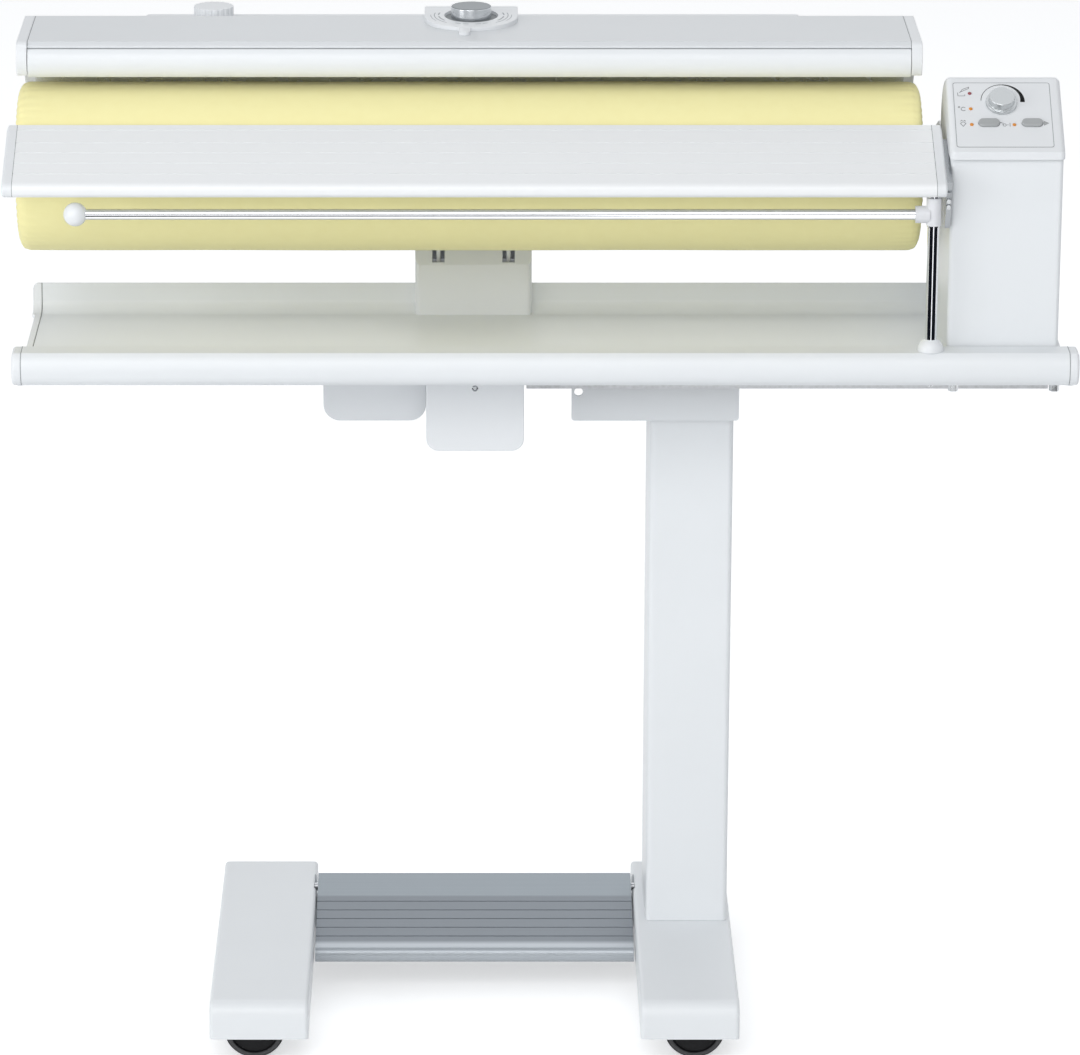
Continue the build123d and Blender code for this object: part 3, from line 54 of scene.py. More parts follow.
camera.location = (-0.0655, -5.1769, 2.1495)
camera.rotation_euler = (radians(72.15), 0.0, 0.0)
bpy.context.scene.collection.objects.link(camera)
bpy.context.scene.camera = camera
bpy.context.scene.view_settings.view_transform = "Standard"


# ---------------------------------------------------------------- studio
# A plain pale floor, a wide soft light in front and above, weaker ones low in front, at the left
# and behind, and an even sky that fills the shadows.
class Wire:
    """A node socket that takes part in sums and products, so that patterns read as maths."""

    def __init__(self, socket):
        self.socket = socket

    def node(self, kind, settings=None, output=0, **values):
        """Adds any node; a value or another wire goes to each named input."""
        tree = self.socket.id_data
        made = tree.nodes.new(kind)
        for name, value in (settings or {}).items():
            setattr(made, name, value)
        for name, value in values.items():
            key = int(name[1:]) if name[0] == "_" else name.replace("_", " ")
            if isinstance(value, Wire):
                tree.links.new(value.socket, made.inputs[key])
            else:
                made.inputs[key].default_value = value
        return Wire(made.outputs[output])

    def maths(self, operation, *values):
        settings = {"operation": operation}
        return self.node("ShaderNodeMath", settings, **{f"_{i}": v for i, v in enumerate(values)})

    def __add__(self, other):
        return self.maths("ADD", self, other)

    def __mul__(self, other):
        return self.maths("MULTIPLY", self, other)

    def __gt__(self, other):
        return self.maths("GREATER_THAN", self, other)

    def wave(self, pitch):
        """A sine along the wire, from -1 to 1, that repeats after the pitch."""
        return self.maths("SINE", self * (2 * pi / pitch))

    def part(self, axis):
        """The X, Y or Z of a vector wire."""
        return self.node("ShaderNodeSeparateXYZ", None, axis, Vector=self)

    def between(self, low, high):
        """The wire's 0 to 1 spread from low to high."""
        return self.node("ShaderNodeMapRange", None, Value=self, To_Min=low, To_Max=high)

    def blend(self, first, second):
        """From the first colour to the second as the wire goes from 0 to 1."""
        settings = {"data_type": "RGBA"}
        return self.node("ShaderNodeMix", settings, 2, _0=self, _6=first, _7=second)

    def noise(self, scale, detail):
        """Noise over the points that the wire gives."""
        return self.node("ShaderNodeTexNoise", None, Vector=self, Scale=scale, Detail=detail)

    def bump(self, strength, distance):
        """The wire's heights as a bumpy normal."""
        settings = {"Strength": strength, "Distance": distance, "Height": self}
        return self.node("ShaderNodeBump", None, **settings)


def formed(name, shape, *paints):
    """The bmesh as an object of the scene with its paints; the bmesh is used up."""
    mesh = bpy.data.meshes.new(name)
    shape.to_mesh(mesh)
    shape.free()
    for paint in paints:
        mesh.materials.append(paint)
    piece = bpy.data.objects.new(name, mesh)
    bpy.context.scene.collection.objects.link(piece)
    return piece


floor_paint = bpy.data.materials.new("studio_floor")
floor_paint.use_nodes = True
floor_shape = bmesh.new()
bmesh.ops.create_circle(floor_shape, cap_ends=True, segments=64, radius=30.0)
floor = formed("studio_floor", floor_shape, floor_paint)
floor_shader = floor_paint.node_tree.nodes["Principled BSDF"]
floor_shader.inputs["Base Color"].default_value = (0.86, 0.87, 0.88, 1)
floor_shader.inputs["Roughness"].default_value = 0.9
floor_shader.inputs["Specular IOR Level"].default_value = 0.1
lit = Wire(floor_shader.outputs[0])


def seen_rays(wire):
    """1 for the rays that see the studio itself: from the lens, off metal and through glass."""
    rays = [
        wire.node("ShaderNodeLightPath", None, f"Is {kind} Ray")
        for kind in ("Camera", "Glossy", "Transmission")
    ]
    return rays[0] + rays[1] + rays[2] > 0.5


glow = lit.node("ShaderNodeEmission", None, Color=(1, 1, 1, 1), Strength=seen_rays(lit) * 0.50)
floor_paint.node_tree.links.new(
    lit.node("ShaderNodeAddShader", None, _0=lit, _1=glow).socket,
    floor_paint.node_tree.nodes["Material Output"].inputs["Surface"],
)

sky = bpy.data.worlds.new("studio_sky")
bpy.context.scene.world = sky
sky.use_nodes = True
sky_shader = sky.node_tree.nodes["Background"]
sky_shader.inputs["Color"].default_value = (0.965, 0.98, 1.0, 1)
sky.node_tree.links.new(
    seen_rays(Wire(sky_shader.outputs[0])).between(0.48, 1.0).socket, sky_shader.inputs["Strength"]
)

for name, place, aim, size, power in (
    ("front_softbox", (-0.7, -4.4, 3.25), (0.0, 0.0, 0.75), (3.6, 3.0), 104.0),
    ("low_softbox", (-0.5, -4.4, 0.85), (0.0, 0.0, 0.65), (2.8, 1.2), 10.0),
    ("left_softbox", (-3.6, -2.2, 1.7), (0.0, 0.0, 0.7), (1.8, 2.2), 38.0),
    ("back_softbox", (0.6, 2.6, 3.0), (0.0, 0.0, 0.8), (2.6, 1.6), 16.0),
):
    lamp = bpy.data.lights.new(name, "AREA")
    lamp.shape = "RECTANGLE"
    lamp.size, lamp.size_y = size
    lamp.energy = power
    softbox = bpy.data.objects.new(name, lamp)
    softbox.location = place
    softbox.rotation_euler = (Vector(aim) - Vector(place)).to_track_quat("-Z", "Y").to_euler()
    bpy.context.scene.collection.objects.link(softbox)

# Black cards beside and over the lens, which only glossy rays see: they give the chrome its
# dark bands.
card_black = bpy.data.materials.new("card_black")
card_black.use_nodes = True
card_shader = card_black.node_tree.nodes["Principled BSDF"]
card_shader.inputs["Base Color"].default_value = (0.012, 0.014, 0.02, 1)
card_shader.inputs["Specular IOR Level"].default_value = 0.0
post_head, board_middle = (0.36, -0.112, 0.8), (0.0, -0.112, 0.8)
for name, place, aim, size in (
    ("left_card", (-0.63, -1.10, 0.34), post_head, (2.1, 0.62)),
    ("right_card", (1.35, -1.10, 0.34), post_head, (2.1, 0.62)),
    ("lens_card", (0.0, -2.6, 1.62), board_middle, (3.4, 0.80)),
):
    card_shape = bmesh.new()
    toward = Vector(aim) - Vector(place)
    stand = Matrix.Translation(place) @ toward.to_track_quat("Z", "Y").to_matrix().to_4x4()
    bmesh.ops.create_grid(card_shape, x_segments=1, y_segments=1, size=0.5)
    bmesh.ops.scale(card_shape, vec=(*size, 1), verts=card_shape.verts)
    bmesh.ops.transform(card_shape, matrix=stand, verts=card_shape.verts)
    card = formed(name, card_shape, card_black)
    card.visible_camera = card.visible_diffuse = False
    card.visible_shadow = card.visible_transmission = False


# ---------------------------------------------------------------- feet and cross beam
# Two pressed steel shells, open below, powder coated in a cool white that has the faint orange
# peel of sprayed powder. A square tube ties them together behind the pedal.
def finish(name, colour, roughness, **sockets):
    """A material with its principled shader, and the wire of its object coordinates."""
    paint = bpy.data.materials.new(name)
    paint.use_nodes = True
    shader = paint.node_tree.nodes["Principled BSDF"]
    shader.inputs["Base Color"].default_value = (*colour, 1)
    shader.inputs["Roughness"].default_value = roughness
    for socket, value in sockets.items():
        shader.inputs[socket.replace("_", " ")].default_value = value
    place = Wire(shader.outputs[0]).node("ShaderNodeTexCoord", None, "Object")
    return paint, shader, place


def plug(shader, **wires):
    """Leads each wire into the named input of the shader."""
    for socket, wire in wires.items():
        shader.id_data.links.new(wire.socket, shader.inputs[socket.replace("_", " ")])


def tint(colour, factor):
    """The colour made lighter or darker, as four numbers."""
    return (*(min(channel * factor, 1.0) for channel in colour), 1)


def powder_coat(name, colour, gloss=0.34):
    """Sprayed powder on steel: cloudy by a hair, with orange peel a few millimetres wide."""
    paint, shader, place = finish(name, colour, gloss, Specular_IOR_Level=0.45)
    clouds = place.noise(7.0, 3.0)
    peel = place.noise(420.0, 2.0)
    touched = place.noise(22.0, 5.0)
    plug(
        shader,
        Base_Color=clouds.blend(tint(colour, 0.975), tint(colour, 1.025)),
        Roughness=touched.between(gloss - 0.05, gloss + 0.07),
        Normal=peel.bump(0.10, 0.0004),
    )
    return paint


def smoothed(shape, sharp):
    """Smooth faces, with a hard edge where two meet at more than this many degrees."""
    for face in shape.faces:
        face.smooth = True
    for line in shape.edges:
        line.smooth = line.calc_face_angle(0.0) < radians(sharp)


def dressed(node, body, paint, edge=0.0008):
    """The frame's node as a finished piece: welded, smooth where it curves, its edges rounded."""
    sharp = 35.0
    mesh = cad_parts[node].data.copy()
    mesh.name = f"{node}_finished"
    shell = bmesh.new()
    shell.from_mesh(mesh)
    bmesh.ops.remove_doubles(shell, verts=shell.verts, dist=0.00001)
    bmesh.ops.dissolve_limit(
        shell, angle_limit=radians(0.6), verts=shell.verts, edges=shell.edges, delimit={"NORMAL"}
    )
    smoothed(shell, sharp)
    shell.to_mesh(mesh)
    shell.free()
    mesh.materials.clear()
    mesh.materials.append(paint)
    piece = bpy.data.objects.new(mesh.name, mesh)
    bpy.context.scene.collection.objects.link(piece)
    if edge:
        rounding = piece.modifiers.new("rounded_edges", "BEVEL")
        rounding.width = edge
        rounding.segments = 2
        rounding.limit_method = "ANGLE"
        rounding.angle_limit = radians(sharp)
        rounding.use_clamp_overlap = True
    flats = piece.modifiers.new("flat_faces", "WEIGHTED_NORMAL")
    flats.keep_sharp = not edge
    flats.weight = 60
    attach(piece, body)
    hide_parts(node)
    return piece


enamel = powder_coat("white_enamel", (0.80, 0.825, 0.845))
for foot in ("left_foot", "right_foot"):
    dressed(foot, "stand", enamel)
dressed("cross_beam", "stand", enamel)

# ---------------------------------------------------------------- castors
# Black discs of hard rubber on fixed forks under the feet: a tread with round shoulders, a worn
# grey lip on each side, a dished face and a raised hub on its bolt.
def turned(name, outline, centre, axis, paint, steps=96):
    """A lathe piece: the outline's (along, radius) points spun once round the axis."""
    axis = Vector(axis)
    spread = axis.orthogonal().normalized()
    lathe = bmesh.new()
    ring = [
        lathe.verts.new(Vector(centre) + axis * along + spread * radius)
        for along, radius in outline
    ]
    edges = [lathe.edges.new(pair) for pair in zip(ring, ring[1:])]
    bmesh.ops.spin(
        lathe, geom=ring + edges, cent=centre, axis=axis, angle=2 * pi, steps=steps, use_merge=True
    )
    bmesh.ops.remove_doubles(lathe, verts=lathe.verts, dist=0.000005)
    bmesh.ops.recalc_face_normals(lathe, faces=lathe.faces)
    smoothed(lathe, 30.0)
    return formed(name, lathe, paint)


rubber, rubber_shader, rubber_place = finish(
    "castor_rubber", (0.008, 0.008, 0.009), 0.6, Specular_IOR_Level=0.25
)
scuffs = rubber_place.noise(160.0, 4.0)
plug(
    rubber_shader,
    Base_Color=scuffs.blend((0.004, 0.004, 0.005, 1), (0.016, 0.016, 0.018, 1)),
    Roughness=scuffs.between(0.45, 0.7),
    Normal=scuffs.bump(0.2, 0.0005),
)
worn_grey, worn_shader, worn_place = finish("castor_lip", (0.05, 0.05, 0.052), 0.5)
worn = worn_place.noise(240.0, 3.0)
plug(worn_shader, Base_Color=worn.blend((0.03, 0.03, 0.032, 1), (0.075, 0.075, 0.078, 1)))
wheel_half = (
    (10.0, 0.0), (10.0, 4.6), (9.4, 5.2), (8.2, 5.4), (7.9, 8.8), (6.4, 9.6), (6.2, 20.5),
    (6.8, 22.6), (9.3, 23.4), (9.9, 24.0), (10.0, 26.0), (9.6, 27.2), (8.6, 28.3), (7.2, 28.9),
    (5.6, 29.0),
)
wheel_outline = [(y / 1000, r / 1000) for y, r in wheel_half]
wheel_outline += [(0.0, 0.029)] + [(-y, r) for y, r in reversed(wheel_outline)]
lip_inside, lip_outside, lip_depth = 0.0236, 0.0272, 0.009
for wheel in ("front_left", "front_right", "rear_left", "rear_right"):
    wheel_low, wheel_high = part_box(f"{wheel}_wheel")
    hub = (wheel_low + wheel_high) / 2
    disc = turned(f"{wheel}_disc", wheel_outline, hub, (0, 1, 0), rubber)
    disc.data.materials.append(worn_grey)
    for face in disc.data.polygons:
        reach = hypot(face.center.x - hub.x, face.center.z - hub.z)
        on_lip = lip_inside < reach < lip_outside and abs(face.center.y - hub.y) > lip_depth
        face.material_index = int(on_lip)
    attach(disc, f"{wheel}_roller")
    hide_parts(f"{wheel}_wheel")


def repainted(nodes, paint):
    """A paint for nodes of the frame that keep their CAD shape."""
    for node in nodes:
        cad_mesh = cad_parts[node].data
        cad_mesh.materials.clear()
        cad_mesh.materials.append(paint)


repainted(("wheel_brackets", "wheel_axles"), rubber)

# ---------------------------------------------------------------- hidden steelwork
# Zinc plated steel that shows only from below and behind: rod, pins, rails, gears, core and the
# motors. The plating is slightly mottled.
zinc, zinc_shader, zinc_place = finish("zinc_plated_steel", (0.55, 0.56, 0.57), 0.36, Metallic=1.0)
mottle = zinc_place.node("ShaderNodeTexVoronoi", None, Vector=zinc_place, Scale=260.0)
plug(
    zinc_shader,
    Base_Color=mottle.blend((0.50, 0.51, 0.52, 1), (0.62, 0.63, 0.65, 1)),
    Roughness=mottle.between(0.28, 0.46),
)
repainted((
    "pedal_rod", "fold_pin", "hinge_plate", "chassis_rails",
    "lift_motor", "press_pin", "roller_gear", "motor_pinion", "drive_motor", "motor_bracket",
    "roller_core", "roller_shaft", "heating_elements",
), zinc)

# ---------------------------------------------------------------- pedal
# An extruded aluminium tread between the feet, anodised grey and brushed along its length, with
# five grip grooves across its slope and a round nose. Its colour carries painted light: darker
# over the grooved slope as painted shade, lighter on the nose as a painted highlight.
def rising(wire, start, stop):
    """0 to 1 as the wire goes from start to stop."""
    limits = {"From_Min": start, "From_Max": stop, "To_Min": 0.0, "To_Max": 1.0}
    return wire.node("ShaderNodeMapRange", None, Value=wire, **limits)


anodised, tread_shader, tread_place = finish(
    "brushed_tread", (0.34, 0.375, 0.405), 0.38, Metallic=0.6
)
along = tread_place.node("ShaderNodeMapping", None, Vector=tread_place, Scale=(2.0, 700.0, 700.0))
brushing = along.noise(1.0, 4.0)
depth = tread_place.part("Y")
# Painted shade over the grooved slope and a painted highlight on the nose, set by depth.
groove_painted_shade = rising(depth, 0.096, 0.092)
nose_painted_highlight = rising(depth, 0.012, 0.005)
flat_tone = brushing.blend((0.225, 0.255, 0.28, 1), (0.285, 0.32, 0.35, 1))
groove_shade_tone = brushing.blend((0.15, 0.17, 0.19, 1), (0.20, 0.22, 0.245, 1))
nose_highlight_tone = (0.40, 0.43, 0.46, 1)
plug(
    tread_shader,
    Base_Color=nose_painted_highlight.blend(groove_painted_shade.blend(flat_tone, groove_shade_tone), nose_highlight_tone),
    Roughness=brushing.between(0.30, 0.46),
    Normal=brushing.bump(0.12, 0.0003),
)
dressed("pedal_plate", "pedal", anodised, 0.0003)

# ---------------------------------------------------------------- column and fold bracket
# A welded rectangular tube on the right foot, a moulded collar round its head, and the folded
# channel on which the ironing unit tips up.
dressed("column", "stand", enamel)
dressed("fold_bracket", "stand", enamel)


def moulded(name, colour, gloss=0.42):
    """Injection moulded housing plastic with the fine spark texture of its tool."""
    paint, shader, place = finish(name, colour, gloss, Specular_IOR_Level=0.4)
    clouds = place.noise(9.0, 2.0)
    spark = place.noise(1500.0, 1.0)
    plug(
        shader,
        Base_Color=clouds.blend(tint(colour, 0.98), tint(colour, 1.02)),
        Roughness=clouds.between(gloss - 0.04, gloss + 0.05),
        Normal=spark.bump(0.08, 0.0002),
    )
    return paint


white_plastic = moulded("white_moulding", (0.80, 0.82, 0.84))
dressed("column_collar", "stand", white_plastic, 0.0005)

# ---------------------------------------------------------------- tray
# A sheet steel tray under the roller: a hollow front rail, a flat floor and a curled rim at the
# back, closed by moulded caps at both ends.
dressed("tray", "ironer_unit", enamel, 0.0004)
dressed("tray_end_caps", "ironer_unit", white_plastic, 0.0006)
for node in ("lift_cover_left", "lift_cover_right", "press_cover"):
    dressed(node, "ironer_unit", white_plastic, 0.001)

# ---------------------------------------------------------------- feed board
# An extruded aluminium board with a half round nose and five shallow grooves, lacquered in a
# pale grey white, between two moulded caps. A chromed arm holds its right end.
board_white = (0.87, 0.885, 0.895)
lacquer, board_shader, board_place = finish(
    "lacquered_aluminium", board_white, 0.34, Specular_IOR_Level=0.5
)
drawn = board_place.node("ShaderNodeMapping", None, Vector=board_place, Scale=(1.5, 260.0, 260.0))
draw_lines = drawn.noise(1.0, 3.0)
plug(
    board_shader,
    Base_Color=draw_lines.blend(tint(board_white, 0.99), tint(board_white, 1.01)),
    Roughness=draw_lines.between(0.31, 0.39),
    Normal=draw_lines.bump(0.02, 0.0003),
)
dressed("feed_board", "ironer_unit", lacquer, 0.0)
dressed("board_end_caps", "ironer_unit", white_plastic, 0.0005)
chrome, chrome_shader, chrome_place = finish(
    "polished_chrome", (0.86, 0.87, 0.89), 0.05, Metallic=1.0
)
smears = chrome_place.noise(30.0, 5.0)
plug(chrome_shader, Roughness=smears.between(0.03, 0.08))
arm_steel, arm_shader, arm_place = finish("plated_arm", (0.36, 0.375, 0.39), 0.2, Metallic=1.0)
plating = arm_place.noise(45.0, 4.0)
plug(arm_shader, Roughness=plating.between(0.14, 0.26))
dressed("board_bracket", "ironer_unit", arm_steel, 0.0)

# ---------------------------------------------------------------- drive housing and control head
# A bent steel case over the drive, with a moulded head on top whose sloping face carries the
# panel.
dressed("housing", "ironer_unit", enamel, 0.001)
dressed("control_head", "ironer_unit", white_plastic, 0.0012)
dressed("control_panel", "ironer_unit", white_plastic, 0.0003)

# ---------------------------------------------------------------- roller
# The padded roller: a cotton cover drawn tight over felt, cut from one pale yellow cloth in a
# plain weave. A cord in the hem gathers it over both ends, and a sewn lap runs along the back.
cloth_low, cloth_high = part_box("roller_padding")
roller_axis = (cloth_low + cloth_high) / 2
cover_radius = (cloth_high.z - cloth_low.z) / 2
shoulder, hem_radius = 0.011, 0.058
gather_in, gather_down = 0.0011, 0.00035
lap_angle, lap_height, lap_half = radians(-52), 0.0007, 0.009
face_band, face_drop = 0.002, 0.0006
hem_line = [
    (0.0048, -0.0004), (0.0030, -0.0012), (0.0012, -0.0006), (0.0003, 0.0008), (0.0006, 0.0028),
    (0.0018, 0.0040), (0.0016, 0.0060),
]
profile = []
for x_end, way in ((cloth_low.x, 1), (cloth_high.x, -1)):
    line = [(x_end + way * along, hem_radius + out) for along, out in hem_line]
    for a in range(11):
        bend = a * pi / 20
        inset = way * shoulder * (1 - cos(bend))
        line.append((x_end + inset, cover_radius - shoulder * (1 - sin(bend))))
    profile += line if way > 0 else line[::-1]
    if way > 0:
        length = cloth_high.x - cloth_low.x - 2 * shoulder
        profile += [(x_end + shoulder + length * i / 70, cover_radius) for i in range(1, 70)]
cloth = bmesh.new()
ring = [cloth.verts.new((x, roller_axis.y, roller_axis.z + r)) for x, r in profile]
edges = [cloth.edges.new(pair) for pair in zip(ring, ring[1:])]
bmesh.ops.spin(
    cloth, geom=ring + edges, cent=roller_axis, axis=(1, 0, 0), angle=2 * pi, steps=288,
    use_merge=True,
)
bmesh.ops.remove_doubles(cloth, verts=cloth.verts, dist=0.00002)
bmesh.ops.recalc_face_normals(cloth, faces=cloth.faces)
for point in cloth.verts:
    out = Vector((0.0, point.co.y - roller_axis.y, point.co.z - roller_axis.z))
    reach, turn = out.length, atan2(out.z, out.y)
    end_gap = min(point.co.x - cloth_low.x, cloth_high.x - point.co.x)
    pull = max(0.0, 1.0 - max(end_gap - 0.001, 0.0) / 0.03)
    near_hem = max(0.0, 1.0 - max(reach - hem_radius - 0.002, 0.0) / 0.017)
    fold = sin(turn * 52 + 1.3 * sin(turn * 5) + 0.8 * sin(turn * 11 + 1))
    inward = 1 if point.co.x < roller_axis.x else -1
    on_end = 1 if reach < cover_radius - 0.004 else 0
    point.co.x += inward * gather_in * near_hem * (1.0 + fold) * on_end
    on_side = 1 if reach > cover_radius - shoulder else 0
    rise = -gather_down * pull * (1.0 - fold) * on_side
    if reach > cover_radius - face_band:
        across = (turn - lap_angle + pi) % (2 * pi) - pi
        lap = lap_height * max(0.0, 1.0 - abs(across * cover_radius) / lap_half)
        sag = 0.00022 * sin(point.co.x * 23 + 2 * turn) * sin(turn * 3 + point.co.x * 9)
        rise += sag - face_drop + lap
    if reach > 0.001:
        point.co += out.normalized() * rise
weave_map = cloth.loops.layers.uv.new("weave")
for face in cloth.faces:
    face.smooth = True
    middle = face.calc_center_median() - roller_axis
    middle_turn = atan2(middle.z, middle.y)
    for corner in face.loops:
        out = corner.vert.co - roller_axis
        turn = middle_turn + (atan2(out.z, out.y) - middle_turn + pi) % (2 * pi) - pi
        slide = max(0.0, cover_radius - hypot(out.y, out.z))
        corner[weave_map].uv = (out.x + (slide if out.x > 0 else -slide), turn * cover_radius)
cotton, cotton_shader, cotton_place = finish(
    "yellow_cotton", (0.97, 0.905, 0.465), 0.85, Sheen_Weight=0.2, Specular_IOR_Level=0.2
)
cotton_shader.inputs["Sheen Roughness"].default_value = 0.4
roller_cloth = formed("roller_cloth", cloth, cotton)
threads = cotton_place.node("ShaderNodeTexCoord", None, "UV")
slubs = threads.noise(90.0, 4.0)
long_slubs = threads.node("ShaderNodeMapping", None, Vector=threads, Scale=(30.0, 900.0, 1.0))
drawn_yarn = long_slubs.noise(1.0, 2.0)
weave = threads.part("X").wave(0.00062) * threads.part("Y").wave(0.00062) * 0.5 + 0.5
yarn = weave * 0.6 + drawn_yarn * 0.4 + slubs * 0.5
plug(
    cotton_shader,
    Base_Color=slubs.blend((0.955, 0.885, 0.445, 1), (0.985, 0.925, 0.49, 1)),
    Normal=yarn.bump(0.22, 0.00022),
)
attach(roller_cloth, "roller")
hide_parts("roller_padding")

# Lock stitches along the lap at the back of the cover, each a short bead of thread.
stitch_count, stitch_inset, stitch_depth = 150, 0.016, 0.00015
stitch_span = cloth_high.x - cloth_low.x - 2 * stitch_inset
stitch_turn = lap_angle + 0.004 / cover_radius
stitch_reach = cover_radius - stitch_depth
stitch_y = roller_axis.y + stitch_reach * cos(stitch_turn)
stitch_z = roller_axis.z + stitch_reach * sin(stitch_turn)
stitch_shape = Matrix.Diagonal((4.6, 1.0, 1.0, 1.0))
lap_stitches = bmesh.new()
for i in range(stitch_count):
    x = cloth_low.x + stitch_inset + i * stitch_span / (stitch_count - 1)
    place = Matrix.Translation((x, stitch_y, stitch_z))
    bmesh.ops.create_icosphere(
        lap_stitches, subdivisions=1, radius=0.0004, matrix=place @ stitch_shape
    )
thread_paint, thread_shader, thread_place = finish(
    "yellow_thread", (0.90, 0.83, 0.42), 0.7, Sheen_Weight=0.3
)
ply = thread_place.noise(3000.0, 1.0)
plug(thread_shader, Base_Color=ply.blend((0.84, 0.77, 0.37, 1), (0.95, 0.88, 0.46, 1)))
stitches = formed("lap_stitches", lap_stitches, thread_paint)
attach(stitches, "roller")

# ---------------------------------------------------------------- hood, mould and guard
# The heated mould is a curved aluminium shoe over the back of the roller. A folded steel hood
# with moulded ends covers it, and the guard strip along its front stops the machine when touched.
# The hood is a darker copy of the white enamel: painted shade for its upward faces, which the
# front light reaches less than the guard and the upright faces.
hood_shaded_enamel = powder_coat("hood_enamel_painted_shade", (0.70, 0.725, 0.745), 0.3)
dressed("heater_cover", "heater", hood_shaded_enamel, 0.0005)
dressed("cover_end_caps", "heater", white_plastic, 0.0008)
dressed("finger_guard", "guard", enamel, 0.0004)
dressed("press_arm", "heater", enamel, 0.0008)
mould_face, mould_shader, mould_place = finish(
    "mould_aluminium", (0.72, 0.73, 0.74), 0.25, Metallic=1.0
)
rubbed = mould_place.noise(60.0, 4.0)
plug(mould_shader, Roughness=rubbed.between(0.18, 0.36))
dressed("mould", "heater", mould_face, 0.0)

# ---------------------------------------------------------------- water tank and filler cap
# A moulded tank behind the hood feeds the steam, and is filled through a knurled cap.
dressed("steam_tank", "heater", white_plastic, 0.001)
dressed("filler_cap", "water_cap", white_plastic, 0.0004)

# ---------------------------------------------------------------- steam dial
# A turned aluminium knob with a dark inlaid face, in a round recess of the pad on top of the
# hood, whose floor is a dark ring of painted shade. A grey scale is printed on the pad around it.
def printed(name, body, ink, face, strokes):
    """Thin strips on a flat face, for screen print and for lines of painted shade: runs of points
    in millimetres, each with its line width.
    """
    art = bmesh.new()
    for width, points in strokes:
        for (x0, y0), (x1, y1) in zip(points, points[1:]):
            bar = Matrix.Translation(((x0 + x1) / 2, (y0 + y1) / 2, 0.03))
            bar @= Matrix.Rotation(atan2(y1 - y0, x1 - x0), 4, "Z")
            bar @= Matrix.Diagonal((hypot(x1 - x0, y1 - y0) + 0.3 * width, width, 0.12, 1))
            bmesh.ops.create_cube(art, size=1.0, matrix=face @ Matrix.Scale(0.001, 4) @ bar)
    piece = formed(name, art, ink)
    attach(piece, body)


def arc(x, y, radius, start, stop, step=6.0):
    """Points on an arc between two angles in degrees."""
    count = max(1, round(abs(stop - start) / step))
    turns = [radians(start + (stop - start) * i / count) for i in range(count + 1)]
    return [(x + radius * cos(turn), y + radius * sin(turn)) for turn in turns]


def inked(name, colour):
    """Screen ink, a little uneven where the mesh of the screen printed it; the same paint also
    serves for painted shade.
    """
    ink, shader, place = finish(name, colour, 0.5, Specular_IOR_Level=0.3)
    screen = place.noise(2500.0, 1.0)
    plug(shader, Base_Color=screen.blend(tint(colour, 0.85), tint(colour, 1.2)))
    return ink


silver, silver_shader, silver_place = finish(
    "silver_lacquer", (0.60, 0.62, 0.63), 0.26, Metallic=0.85
)
fine_turning = silver_place.noise(90.0, 3.0)
plug(silver_shader, Roughness=fine_turning.between(0.22, 0.30))
dial_metal, dial_shader, dial_place = finish(
    "turned_dial", (0.66, 0.68, 0.70), 0.22, Metallic=0.95
)
inlay_height = 0.9714
on_face = dial_place.part("Z") > inlay_height
plug(
    dial_shader,
    Base_Color=on_face.blend((0.66, 0.68, 0.70, 1), (0.19, 0.205, 0.215, 1)),
    Roughness=on_face.between(0.16, 0.42),
)
dressed("dial_plate", "heater", white_plastic, 0.0006)
dressed("steam_dial", "steam_control", dial_metal, 0.0004)
dial_low, dial_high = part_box("steam_dial")
dial_centre = (dial_low + dial_high) / 2
grey_ink = inked("grey_ink", (0.36, 0.38, 0.40))
# The dark ring on the floor of the recess round the knob is painted shade, where shade falls.
recess_painted_shade = inked("recess_painted_shade", (0.20, 0.215, 0.225))
# The grey of the joint lines and of the panel's edge is painted shade of their hairline gaps.
gap_painted_shade = inked("seam_shadow", (0.30, 0.315, 0.325))
recess_height = 0.96028
recess_ring = turned(
    "dial_recess_shade_ring",
    [(0.0, 0.0105), (0.0003, 0.0105), (0.0003, 0.0251), (0.0, 0.0252)],
    (dial_centre.x, dial_centre.y, recess_height), (0, 0, 1), recess_painted_shade,
)
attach(recess_ring, "heater")
pad_rise, pad_run = 3.5, 77.25
pad_front, pad_height = 0.04875, 0.9607
pad_top = pad_height + (dial_centre.y - pad_front) * pad_rise / pad_run
pad_face = Matrix.LocRotScale(
    Vector((dial_centre.x, dial_centre.y, pad_top)), Euler((atan2(pad_rise, pad_run), 0, 0)), None
)
scale_marks = []
for side in (1, -1):
    for reach, start, stop, width in (
        (35.0, -48, 14, 0.8), (31.0, -36, -8, 1.3), (31.0, 2, 16, 1.3), (38.4, -30, 2, 0.6),
    ):
        run = arc(0, 0, reach, start, stop)
        scale_marks.append((width, [(side * x, y) for x, y in run]))
for start in (-118, -104, -82, -70):
    scale_marks.append((1.0, arc(0, 0, 31.5, start, start + 9)))
printed("dial_scale", "heater", grey_ink, pad_face, scale_marks)

# ---------------------------------------------------------------- knob, keys and lights
# The speed knob, the two grey keys and the four small lights of the panel, with the printed
# symbols beside them and the swelling black arc over the knob.
dressed("speed_knob", "speed_control", silver, 0.0004)
key_grey = moulded("key_grey", (0.40, 0.415, 0.42), 0.45)
dressed("press_button", "left_key", key_grey, 0.0002)
dressed("power_button", "right_key", key_grey, 0.0002)
panel_middle, panel_tilt = (0.428, -0.0645, 0.90406), radians(35)
panel_face = Matrix.LocRotScale(Vector(panel_middle), Euler((panel_tilt, 0, 0)), None)
lens_colours = (("orange_lens", (0.72, 0.26, 0.015)), ("red_lens", (0.30, 0.045, 0.06)))
lens_paints = []
for name, colour in lens_colours:
    lens, lens_shader, lens_place = finish(name, colour, 0.22, Coat_Weight=0.4)
    bubbles = lens_place.noise(1800.0, 2.0)
    plug(lens_shader, Base_Color=bubbles.blend(tint(colour, 0.7), tint(colour, 1.15)))
    lens_paints.append(lens)
lights = bmesh.new()
